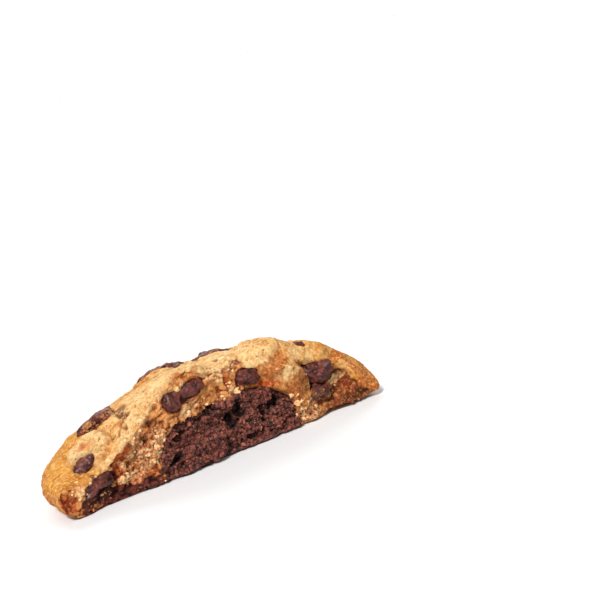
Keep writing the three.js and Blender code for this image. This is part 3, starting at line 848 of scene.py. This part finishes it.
# %% Make the chunks
def block(chunk, rows=44, columns=76):
    """Rounded block: directions from two angles, pushed out to |x|^n + |y|^n + |z|^n = 1 and dented,
    then put in its place and chipped there."""
    seed, rugged = chunk["seed"], chunk.get("rugged", 1)
    up = np.linspace(-np.pi / 2, np.pi / 2, rows)[:, None]
    about = np.linspace(0, 2 * np.pi, columns, endpoint=False)[None, :]
    way = np.stack([np.cos(up) * np.cos(about), np.cos(up) * np.sin(about), np.sin(up) + 0 * about], -1)
    axes = np.moveaxis(way, -1, 0)
    dent = 1 + 0.24 * noise(*1.7 * axes, seed) + 0.06 * rough(*4 * axes, seed + 1, 3)
    point = way / block_norm(way, SQUARENESS) * dent[..., None] * np.array(chunk["size"]) / 2
    point = point @ chunk_turn(chunk).T + chunk_place(chunk)
    chips = 0.5 * rugged * sized(billow, point, 2.2, seed + 9, 3) + 0.16 * sized(rough, point, 0.6, 97, 2)
    chips = chips + 0.5 * max(rugged - 1, 0) * sized(billow, point, 1.1, seed + 19, 2)
    return point + way @ chunk_turn(chunk).T * chips[..., None]


chunks = []
for number, chunk in enumerate(CHUNKS, 1):
    point = block(chunk)
    masks = {key: np.full(point[..., 0].size, chunk.get(key, 0.0)) for key in ("dusted", "gloss")}
    chunks.append(closed_piece(f"chocolate_{number:02d}", point, masks, order=(0, 3, 2, 1)))

# %% [markdown]
# ## Clinging grains
# A tear leaves loose grains on both crumbs. Each is a small uneven lump, and all of one kind are
# joined into one piece. They are scattered over points of the dressed surfaces by a seeded draw,
# more of them where the crumb is coarse and along the border between dough and brownie.

# %% Grains as joined lumps
LUMP_SQUARENESS = 2.8


def lump_shape():
    """A coarse, slightly square ball: the points and triangles of an icosahedron split once."""
    ball = bmesh.new()
    bmesh.ops.create_icosphere(ball, subdivisions=2, radius=1)
    points = np.array([v.co[:] for v in ball.verts])
    faces = np.array([[v.index for v in f.verts] for f in ball.faces])
    ball.free()
    return points / block_norm(points, LUMP_SQUARENESS), faces


def scatter(name, places, normals, sizes, tones, draw):
    """Joins one lump per place: squeezed, turned (never mirrored) and dented at random, with its
    middle a little below the surface."""
    ball, triangles = lump_shape()
    count = len(places)
    turn = np.linalg.qr(draw.normal(size=(count, 3, 3)))[0]
    turn[:, 0] *= np.sign(np.linalg.det(turn))[:, None]
    squeeze = draw.uniform(0.6, 1.15, (count, 1, 3))
    shift = draw.uniform(-50, 50, (count, 1, 3))
    dent = 1 + 0.7 * noise(*np.moveaxis(2.1 * ball[None] + shift, -1, 0), 171)
    lump = (ball[None] * dent[..., None] * squeeze * sizes[:, None, None] / 2) @ turn
    lump = lump + places[:, None, :] - normals[:, None, :] * (0.14 * sizes)[:, None, None]
    lump[..., 2] = np.maximum(lump[..., 2], 0)
    faces = (triangles[None] + np.arange(count)[:, None, None] * len(ball)).reshape(-1, 3)
    piece = new_piece(name, lump.reshape(-1, 3), faces, {"grain": np.repeat(tones, len(ball))})
    piece.data.shade_flat()
    print(name, "grains:", count, "triangles:", len(faces))
    return piece


def pick(weights, count, draw):
    """Draws that many different grid points, likelier where the weight is high."""
    share = weights.ravel() / weights.sum()
    return draw.choice(share.size, count, replace=False, p=share)


# %% [markdown]
# Some crumbs catch the eye, so they are listed one by one: pale ones at the foot of the tongue and
# above the core, golden ones low on the left, and dark bits of brownie. Each is x, z and width.

# %% Crumbs that have a place of their own
PALE_CRUMBS = [
    (-0.2, 14.4, 1.2), (4.7, 14.9, 1.4), (5.4, 14.2, 0.9), (3.4, 16, 0.9), (17.6, 8.4, 1.6),
    (18.6, 7.4, 1.7), (19.7, 6.6, 1.3), (18.6, 2.8, 1.6), (17.6, 3.6, 1.1), (22.9, 4.4, 1.4),
    (25.1, 3.6, 1.5), (24, 5, 0.9), (-0.3, 20.3, 1.3), (1.4, 20.7, 1.1), (3.2, 20.1, 1.2),
    (-40.2, 6.6, 0.8), (-39.5, 5.6, 0.9),
    (-38.9, 6.6, 0.8), (-38.2, 5.8, 0.7), (-32.1, 3.2, 0.8), (-32.7, 2.3, 0.7), (32.2, 7.4, 1.3),
    (32.9, 8.2, 1), (31.4, 8.4, 1.2), (31.8, 6.6, 1.1), (21.6, 2, 1.2), (20.2, 4.4, 1.2),
    (21.4, 5.4, 1), (19.4, 1.6, 1), (-17.2, 18.8, 1.1)]
GOLDEN_CRUMBS = [(-37.2, 1.5, 1.1), (-36.4, 1.1, 1.2), (-35.6, 1.2, 1), (-34.8, 0.9, 1),
                 (11.2, 12.9, 1.7), (12.6, 13.1, 1.1)]
DARK_BITS = [(6.7, 20.7, 1.9), (-27.2, 5.4, 0.8), (29, 5.2, 1.2), (26, 4.8, 1)]


def nearest_rows(places):
    """Index of the grid point nearest to each (x, z), by squared distance, with points behind the tear
    put out of reach; and the widths."""
    spots = np.array(places)
    far = (x.ravel() - spots[:, :1]) ** 2 + (z.ravel() - spots[:, 1:2]) ** 2 + 99 * (depth.ravel() > 1)
    return far.argmin(axis=1), spots[:, 2]


print("crumbs placed by hand:", len(PALE_CRUMBS + GOLDEN_CRUMBS + DARK_BITS))

# %% [markdown]
# The rest are drawn at random. Soft, melted, hard and caramelised dough holds few grains, and a
# large quad of the grid gets more of them than a small one. Each crumb that has a place of its own
# becomes a cluster of small ones, because a single large lump would look like a bead.

# %% Scatter them
DOUGH_GRAINS, CORE_GRAINS, STRIP_GRAINS, PER_CLUSTER = 460, 420, 24, 4
draw = np.random.default_rng(7)
flat_body, flat_normals = body.reshape(-1, 3), loft_normals(body).reshape(-1, 3)
quad_size = np.linalg.norm(loft_cross(body), axis=-1)
border = torn * rise(z, core_height(x, 0 * x), 1.0, 1) * (np.abs(x - CENTRE_X) < CORE_RADIUS)
cluster = oval(x, z, 20.6, 3.2, 4.2, 2.8, 0.1, 0.4) * torn
weight = torn * (z > 0.6) * (0.05 + 0.8 * coarse + 0.5 * border + 1.2 * cluster) * lifted * quad_size
for mask, share in ((soft, 0.9), (melt, 0.9), (strip, 0.9), (hard, 0.8), (caramel, 0.95)):
    weight = weight * (1 - share * mask)
chosen = pick(weight, DOUGH_GRAINS, draw)
sizes = np.exp(draw.normal(-0.6, 0.38, len(chosen))).clip(0.3, 1.2)
tones = draw.uniform(0.05, 0.9, len(chosen))
for places, tone in ((PALE_CRUMBS, 0.9), (GOLDEN_CRUMBS, 0.15)):
    placed = np.repeat(np.array(places), PER_CLUSTER, axis=0)
    placed[:, :2] += draw.normal(0, 0.6, (len(placed), 2))
    placed[:, 2] *= draw.uniform(0.35, 0.8, len(placed))
    rows, widths = nearest_rows(placed)
    chosen, sizes = np.concatenate([chosen, rows]), np.concatenate([sizes, widths])
    tones = np.concatenate([tones, tone - draw.uniform(0, 0.35, len(rows))])
dough_crumbs = scatter("dough_crumbs", flat_body[chosen], flat_normals[chosen], sizes, tones, draw)

weight = (cdepth < 0.8) * (cz > 0.6) * (0.3 + core_tone_and_lump_light) * (1 - 0.9 * core_gap_shade)
chosen = pick(weight, CORE_GRAINS, draw)
bits, bit_sizes = nearest_rows(DARK_BITS)
weight = torn * (z > 0.5) * (strip + 0.03 * coarse) * quad_size
dark_rows = np.concatenate([pick(weight, STRIP_GRAINS, draw), bits])
places = np.concatenate([core_body.reshape(-1, 3)[chosen], flat_body[dark_rows]])
directions = np.concatenate([loft_normals(core_body).reshape(-1, 3)[chosen], flat_normals[dark_rows]])
sizes = np.exp(draw.normal(-0.75, 0.35, len(places))).clip(0.25, 1.0)
sizes[-len(bits):] = bit_sizes
tones = draw.uniform(0, 1, len(places))
brownie_crumbs = scatter("brownie_crumbs", places, directions, sizes, tones, draw)

# %% [markdown]
# ## Shader maths in Python
# A material's colour is worked out from masks. Written as node calls that is hard to read, so a
# small class wraps a socket and turns Python's operators into Math nodes.

# %% The value class and the material builder
def operator(operation, swap=False):
    """An operator of a value: it adds a Math node. The reflected form swaps its two sides."""
    def method(value, other):
        sides = (other, value) if swap else (value, other)
        made = value.shade.node("ShaderNodeMath", {"operation": operation}, dict(enumerate(sides)))
        return Value(value.shade, made.outputs[0])
    return method


class Value:
    """A number that varies over the surface. Its operators add Math nodes."""

    __add__, __radd__ = operator("ADD"), operator("ADD", swap=True)
    __sub__, __rsub__ = operator("SUBTRACT"), operator("SUBTRACT", swap=True)
    __mul__, __rmul__ = operator("MULTIPLY"), operator("MULTIPLY", swap=True)

    def __init__(self, shade, socket):
        self.shade, self.socket = shade, socket


def paint(red, green, blue):
    """A screen colour, 0 to 255, as the linear values that shaders use."""
    part = np.array([red, green, blue]) / 255
    linear = np.where(part <= 0.04045, part / 12.92, ((part + 0.055) / 1.055) ** 2.4)
    return (*[float(v) for v in linear], 1.0)


class Shade:
    """Builds one material: its principled shader and whatever feeds it."""

    def __init__(self, name, **constants):
        self.material = bpy.data.materials.new(name)
        self.material.use_nodes = True
        self.tree = self.material.node_tree
        self.shader = self.tree.nodes["Principled BSDF"]
        self.set(**constants)
        place = self.node("ShaderNodeTexCoord").outputs["Object"]
        self.place = self.value("ShaderNodeMapping", 0, Vector=place, Scale=(1 / MM,) * 3)

    def set(self, **values):
        """Sets or links the shader's sockets, with _ for each space in a name."""
        for key, value in values.items():
            self.feed(self.shader.inputs[key.replace("_", " ")], value)

    def node(self, kind, settings=None, inputs=None):
        """Adds a node, sets its settings, then its sockets from values or links."""
        made = self.tree.nodes.new(kind)
        for key, value in (settings or {}).items():
            setattr(made, key, value)
        for key, value in (inputs or {}).items():
            self.feed(made.inputs[key], value)
        return made

    def feed(self, socket, value):
        """Links a socket to a value or another socket, or sets it to a plain number or colour."""
        value = value.socket if isinstance(value, Value) else value
        if isinstance(value, bpy.types.NodeSocket):
            self.tree.links.new(value, socket)
        else:
            socket.default_value = value

    def value(self, kind, output, settings=None, **inputs):
        """One output of a new node as a value, with _ for each space in a socket's name."""
        inputs = {key.replace("_", " "): value for key, value in inputs.items()}
        return Value(self, self.node(kind, settings, inputs).outputs[output])

    def mask(self, name):
        """A mask stored with the mesh's points."""
        return self.value("ShaderNodeAttribute", "Fac", {"attribute_name": name})

    def noise(self, size, detail=3, roughness=0.55):
        """Noise from 0 to 1 with features of about size millimetres."""
        fineness = dict(Scale=1 / size, Detail=detail, Roughness=roughness)
        return self.value("ShaderNodeTexNoise", "Fac", Vector=self.place, **fineness)

    def cells(self, size):
        """Distance to the nearest scattered point, in cells of about size millimetres."""
        return self.value("ShaderNodeTexVoronoi", "Distance", Vector=self.place, Scale=1 / size)

    def ease(self, value, start, end, low=0, high=1):
        """Eased step of a value, from low at start to high at end."""
        kind, eased = "ShaderNodeMapRange", {"interpolation_type": "SMOOTHSTEP"}
        ends = dict(From_Min=start, From_Max=end, To_Min=low, To_Max=high)
        return self.value(kind, 0, eased, Value=value, **ends)

    def mix(self, share, a, b):
        """Colour a turned into colour b by a share. Three numbers are a screen colour."""
        a, b = (paint(*colour) if isinstance(colour, tuple) else colour for colour in (a, b))
        settings = {"data_type": "RGBA", "clamp_factor": True}
        return self.node("ShaderNodeMix", settings, {0: share, 6: a, 7: b}).outputs[2]

    def coats(self, colour, *coats):
        """Coats of (share, colour), laid over a colour one after another."""
        for share, coat in coats:
            colour = self.mix(share, colour, coat)
        return colour

    def grit(self, colour, share, dark, light):
        """Fine dark and light grains in a colour."""
        fine = self.noise(0.85, 4, 0.7)
        return self.coats(colour, (self.ease(fine, 0.5, 0.3) * share, dark),
                          (self.ease(fine, 0.48, 0.66) * share, light))

    def bump(self, height, distance):
        """Bump node on the shader's normal, for a height from 0 to 1 times distance in millimetres."""
        made = self.node("ShaderNodeBump", inputs={"Height": height, "Distance": distance * MM})
        self.set(Normal=made.outputs[0])


print("golden crust, linear:", np.round(paint(226, 170, 95), 3))

# %% [markdown]
# ## Dough and crust
# The crust goes from cream by the tear through gold to brown at its low edge, in soft blotches with
# tiny dark specks, and shade is painted into its dimples, crease, cracks and holes. Each tone is a
# coat laid over the last by its own mask, which noise breaks up.

# %% Crust colours
def crust_colour(shade):
    """Gold, with cream by the tear, brown low down, fine mottling, dark specks and painted shade in
    hollows.
    """
    mask, broad, mid, fine = shade.mask, shade.noise(9, 2), shade.noise(2.2, 4), shade.noise(0.55, 3)
    # Half of the mottling follows the dimple height, a painted shade in dimples, cracks and folds.
    mottle_and_dimple_shade = shade.ease(mask("relief") * 0.5 + mid * 0.5 + (fine - 0.5) * 0.7, 0.25, 0.75)
    pale = shade.ease(mask("pale") + (broad - 0.5) * 1.1 + (mid - 0.5) * 0.6, 0.08, 0.95)
    brown = shade.ease(mask("brown") + (mid - 0.5) * 0.8 + (broad - 0.5) * 0.4, 0.28, 1.0)
    speck = (1 - shade.ease(shade.cells(1.2), 0.1, 0.26)) * shade.ease(shade.noise(3, 2), 0.38, 0.58)
    colour = shade.coats(
        shade.mix(mottle_and_dimple_shade, (168, 89, 20), (212, 145, 50)),
        (pale, shade.mix(mottle_and_dimple_shade, (210, 151, 89), (240, 207, 151))),
        (mask("bulge") * 0.7, shade.mix(mottle_and_dimple_shade, (194, 152, 96), (229, 205, 156))),
        (shade.ease(shade.noise(4.2, 3), 0.48, 0.64) * 0.4, (214, 146, 74)),
        (brown, shade.mix(shade.ease(fine, 0.35, 0.65), (146, 68, 20), (206, 116, 44))),
        # Painted shade in the crease round the bulge.
        (mask("rim") * 0.6, (180, 100, 36)),
        (mask("halo") * 0.7, (192, 88, 34)),
        (speck * 0.85, (112, 54, 22)),
        (mask("stain") * shade.ease(fine, 0.3, 0.5) * 0.9, (92, 50, 42)))
    return shade.coats(
        shade.grit(colour, 0.5, (146, 76, 24), (255, 216, 138)),
        (mask("under"), shade.mix(shade.ease(fine, 0.4, 0.6), (52, 24, 16), (92, 46, 32))),
        # Painted shade in holes, cracks and pits, together with brown spots.
        (mask("hole") * 0.75, (100, 46, 16)))


# %% [markdown]
# The torn dough is beige on its grains, with painted brown shade in its gaps and holes, tan where it
# is soft, and red-brown where sugar has caramelised. Melted chocolate and burnt crumb cover it last.

# %% Torn dough colours
def tear_colour(shade):
    """Beige grains and painted shade in gaps, then soft dough, browned edges, caramel and melted chocolate.
    """
    mask, broad, mid = shade.mask, shade.noise(5, 2), shade.noise(2.2, 4)
    fine = shade.noise(0.5, 4, 0.7)
    # The grain mask is higher on raised knots, a painted light, besides its random tone per grain.
    light = shade.ease(mask("grain") + (fine - 0.5) * 0.7, 0.15, 0.85)
    wet = shade.mix(shade.ease(mid + (fine - 0.5) * 0.6, 0.36, 0.66), (126, 56, 20), (192, 110, 50))
    wet = shade.mix(shade.ease(broad + (fine - 0.5) * 0.3, 0.5, 0.62) * 0.7, wet, (214, 142, 72))
    coarse = shade.ease(mask("coarse") + (mid - 0.5) * 0.4, 0.2, 0.7)
    burnt = shade.mix(light, (40, 15, 11), (118, 58, 45))
    melted = shade.mix(shade.ease(mid, 0.4, 0.6), (50, 19, 13), (92, 45, 33))
    face = shade.coats(
        shade.mix(light, (142, 65, 27), (240, 164, 98)),
        (coarse, shade.mix(light, (194, 106, 56), (255, 209, 152))),
        (mask("soft"), wet),
        (mask("hard") * 0.95, shade.mix(light, (50, 19, 10), (128, 58, 32))),
        (mask("caramel") * 0.95, shade.mix(light, (146, 42, 14), (210, 92, 38))),
        (mask("shade") * 0.5, (130, 61, 17)),
        # Painted shade in the gaps between grains.
        (mask("gap") * 0.8, (126, 52, 20)))
    return shade.coats(
        shade.grit(face, 0.5, (96, 40, 14), (250, 186, 108)),
        (shade.ease(mask("strip") + (fine - 0.5) * 0.5, 0.35, 0.6), burnt),
        (mask("under"), burnt),
        # Painted shade in holes, cracks and pits, together with brown spots.
        (mask("hole") * 0.8, (70, 30, 15)),
        (shade.ease(mask("melt") + (fine - 0.5) * 0.4, 0.4, 0.6), melted))


# %% [markdown]
# One material carries both, mixed by the mask `torn`, so that no seam shows where the crust ends.
# Light enters baked dough a little way, so it has some subsurface scattering. It is dull, except
# where it is soft or where chocolate has melted.

# %% Dough material
def dough_material():
    """Crust and tear, with cream crumbs over both and a painted highlight along the tongue's edge."""
    shade = Shade("baked dough", Subsurface_Weight=0.18, Subsurface_Scale=1.2 * MM,
                  Subsurface_Radius=(1.0, 0.5, 0.25), Specular_IOR_Level=0.15)
    # The cream mask holds cream crumbs and the painted highlight along the tongue's edge.
    cream = shade.ease(shade.mask("cream") + (shade.noise(0.8, 3, 0.6) - 0.5) * 1.2, 0.3, 0.7)
    colour = shade.mix(shade.mask("torn"), crust_colour(shade), tear_colour(shade))
    gloss = shade.ease(shade.mask("melt"), 0.4, 0.7) * 0.32 + shade.mask("soft") * 0.25
    shade.set(Base_Color=shade.mix(cream * 0.9, colour, (238, 200, 142)), Roughness=0.62 - gloss)
    shade.bump(shade.noise(0.8, 5, 0.8) * (0.5 + 0.5 * shade.mask("torn")), 0.75)
    return shade.material


def crumb_material(name, low, high, roughness):
    """Loose grains: each has its own tone between two colours."""
    shade = Shade(name, Roughness=roughness)
    fine = shade.noise(0.5, 2)
    tone = shade.ease(shade.mask("grain") + (fine - 0.5) * 0.5, 0.1, 0.9)
    shade.set(Base_Color=shade.mix(tone, low, high))
    shade.bump(fine, 0.15)
    return shade.material


DOUGH = dough_material()
dough.data.materials.append(DOUGH)
dough_crumbs.data.materials.append(crumb_material("dough grain", (190, 110, 58), (248, 198, 142), 0.75))
print("dough nodes:", len(DOUGH.node_tree.nodes))

# %% [markdown]
# ## Brownie and chocolate
# The brownie is dark red-brown and moist: its grains get small painted highlights and its holes a
# painted shade, nearly black. Chocolate has a sheen, glossier where it melted, and crust dusts
# some chunks.

# %% Brownie and chocolate materials
def brownie_material():
    """Grains of many dark tones with painted glints; painted shade, nearly black, and dull in the gaps."""
    shade = Shade("moist brownie", Specular_IOR_Level=0.4)
    mid, fine, gap = shade.noise(1.8, 3), shade.noise(0.8, 4, 0.7), shade.mask("gap")
    # Painted highlights: glints on scattered specks.
    painted_glints = (1 - shade.ease(shade.cells(0.9), 0.14, 0.28)) * shade.ease(shade.noise(2.4, 2), 0.42, 0.55)
    # The grain mask is higher on raised lumps, a painted light, and random per grain.
    tone = shade.ease(shade.mask("grain") + (mid - 0.5) * 1.2, 0.2, 0.85)
    colour = shade.coats(shade.mix(tone, (30, 10, 8), (138, 68, 52)),
                         (shade.ease(shade.noise(5, 2), 0.5, 0.62) * 0.5, (84, 44, 37)),
                         # Painted highlights: light specks and glints on the grains.
                         (shade.ease(fine, 0.52, 0.64) * 0.7, (180, 100, 80)),
                         (painted_glints * 0.85, (226, 156, 126)))
    # Painted shade, nearly black, in the gaps and pits.
    colour = shade.mix(gap, shade.grit(colour, 0.85, (28, 10, 8), (176, 98, 78)), (24, 10, 8))
    shade.set(Base_Color=colour, Roughness=shade.ease(fine, 0.35, 0.65, 0.36, 0.75) + gap * 0.4)
    shade.bump(shade.noise(0.9, 4, 0.8), 0.7)
    return shade.material


def chocolate_material():
    """Dark red-brown with a sheen in places; some chunks are dusted with bits of crust."""
    shade = Shade("dark chocolate", Specular_IOR_Level=0.35)
    mid, fine = shade.noise(2.0, 4), shade.noise(0.5, 3)
    brown = shade.mix(shade.ease(mid + (fine - 0.5) * 0.4, 0.32, 0.7), (44, 16, 12), (116, 52, 41))
    crust = shade.ease(shade.noise(1.7, 3, 0.6) + (fine - 0.5) * 0.3, 0.51, 0.58) * shade.mask("dusted")
    dust = shade.mix(shade.ease(fine, 0.35, 0.65), (124, 68, 34), (196, 138, 80))
    sheen = shade.ease(mid, 0.35, 0.65, 0.24, 0.5) * (1 - 0.45 * shade.mask("gloss"))
    shade.set(Base_Color=shade.mix(crust, brown, dust), Roughness=sheen + crust * 0.4)
    shade.bump(mid * 0.6 + fine * 0.4, 0.45)
    return shade.material


CHOCOLATE = chocolate_material()
brownie.data.materials.append(brownie_material())
brownie_crumbs.data.materials.append(crumb_material("brownie grain", (62, 24, 16), (152, 84, 67), 0.5))
for piece in chunks:
    piece.data.materials.append(CHOCOLATE)
print("chocolate nodes:", len(CHOCOLATE.node_tree.nodes))

# %% [markdown]
# ## Riding on the frame
# Every piece rides on the part's one body, the grains on top of the surfaces. The solids that the
# surfaces stand for are hidden.

# %% Ride and replace
finishes = [(dough, "crust"), (dough_crumbs, "crust"), (brownie, "brownie"), (brownie_crumbs, "brownie")]
for piece, slot in finishes + [(piece, "chocolate") for piece in chunks]:
    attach(piece, "root")
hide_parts("cookie")
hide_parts("brownie")
for number, piece in enumerate(chunks, 1):
    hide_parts(f"chunk_{number:02d}")
print("pieces on the body:", len(finishes) + len(chunks))

# %% [markdown]
# ## Camera
# The half is seen from its left front, a little from above, with the camera leaning so that the
# tear rises to the right. The camera looks past the object, which lies left of the picture's middle.

# %% Camera
VIEW = dict(azimuth=-25.0, elevation=14.0, roll=15.0, distance=345.0)
AIM = np.array([2.4, TEAR_Y + 16.0, 10.0])
AIM_PIXEL = np.array([201.0, 405.0])
PICTURE = 600
FOCAL = 1411.0


def direction(azimuth, elevation):
    """Unit vector towards a place round the object, in degrees; azimuth 0 is in front of the tear."""
    a, e = np.radians([azimuth, elevation])
    return np.array([np.sin(a) * np.cos(e), -np.cos(a) * np.cos(e), np.sin(e)])


def camera_matrix():
    """Rotation and place of a camera that sees AIM at AIM_PIXEL: orbit, roll, then a small turn."""
    a, r = np.radians([VIEW["azimuth"], VIEW["roll"]])
    back = direction(VIEW["azimuth"], VIEW["elevation"])
    right = np.array([np.cos(a), np.sin(a), 0])
    turn = np.stack([right, np.cross(back, right), back], 1)
    turn = turn @ np.array([[np.cos(r), np.sin(r), 0], [-np.sin(r), np.cos(r), 0], [0, 0, 1]])
    offset = (AIM_PIXEL - PICTURE / 2) / FOCAL
    sight = Vector((offset[0], -offset[1], -1)).normalized()
    swing = sight.rotation_difference(Vector((0, 0, -1))).to_matrix()
    return turn @ np.array(swing), AIM + back * VIEW["distance"]


turn, place = camera_matrix()
lens = bpy.data.cameras.new("camera")
lens.sensor_width = 36
lens.lens = FOCAL / PICTURE * lens.sensor_width
lens.clip_start, lens.clip_end = 0.01, 10
camera = bpy.data.objects.new("camera", lens)
camera.matrix_world = Matrix.Translation(Vector(place * MM)) @ Matrix(turn.tolist()).to_4x4()
bpy.context.scene.collection.objects.link(camera)
bpy.context.scene.camera = camera
print("camera at, mm:", np.round(place, 0))

# %% [markdown]
# ## Floor and light
# A plain pale floor lies under the cookie, so large that its edge is lost in the distance.

# %% Floor
FLOOR_REACH = 6.0
corners = [(a * FLOOR_REACH, b * FLOOR_REACH, 0) for a, b in ((-1, -1), (1, -1), (1, 1), (-1, 1))]
floor_mesh = bpy.data.meshes.new("floor")
floor_mesh.from_pydata(corners, [], [(0, 1, 2, 3)])
floor = bpy.data.objects.new("floor", floor_mesh)
bpy.context.scene.collection.objects.link(floor)
floor_mesh.materials.append(Shade("floor", Roughness=0.9, Base_Color=(0.78, 0.78, 0.78, 1)).material)
print("floor, m:", 2 * FLOOR_REACH)

# %% [markdown]
# The key light comes from the left front and a broad one from behind, both far away. A weak lamp
# fills the right. Together they give bright food with soft grey shadows close to its base.

# %% Lights
LIT_POINT = Vector((0, 0, 0.01))


def light(name, kind, azimuth, elevation, distance=0, **settings):
    """A lamp that faces the object. A sun's rays are parallel, so it needs no distance."""
    lamp = bpy.data.lights.new(name, kind)
    for key, value in settings.items():
        setattr(lamp, key, value)
    way = Vector(direction(azimuth, elevation))
    facing = way.to_track_quat("Z", "Y").to_matrix().to_4x4()
    thing = bpy.data.objects.new(name, lamp)
    thing.matrix_world = Matrix.Translation(way * distance + LIT_POINT) @ facing
    bpy.context.scene.collection.objects.link(thing)


light("fill", "AREA", 45, 40, 0.8, size=0.6, energy=0.6)
light("key", "SUN", -48, 44, energy=3.75, angle=np.radians(12))
light("back", "SUN", 165, 42, energy=1.2, angle=np.radians(40))
print("lights:", len(bpy.data.lights))

# %% [markdown]
# The world lights everything a little from all sides. The camera sees it brighter than that, as
# the white that studio pictures have behind the food.

# %% World
AMBIENT, SEEN = 0.30, 1.02
world = bpy.data.worlds.new("studio")
world.use_nodes = True
tree, backdrop = world.node_tree, world.node_tree.nodes["Background"]
strength = tree.nodes.new("ShaderNodeMath")
strength.operation = "MULTIPLY_ADD"
strength.inputs[1].default_value, strength.inputs[2].default_value = SEEN - AMBIENT, AMBIENT
tree.links.new(tree.nodes.new("ShaderNodeLightPath").outputs["Is Camera Ray"], strength.inputs[0])
tree.links.new(strength.outputs[0], backdrop.inputs["Strength"])
backdrop.inputs["Color"].default_value = (1, 1, 1, 1)
bpy.context.scene.world = world
bpy.context.scene.view_settings.view_transform = "Standard"
print("light from all sides:", AMBIENT)
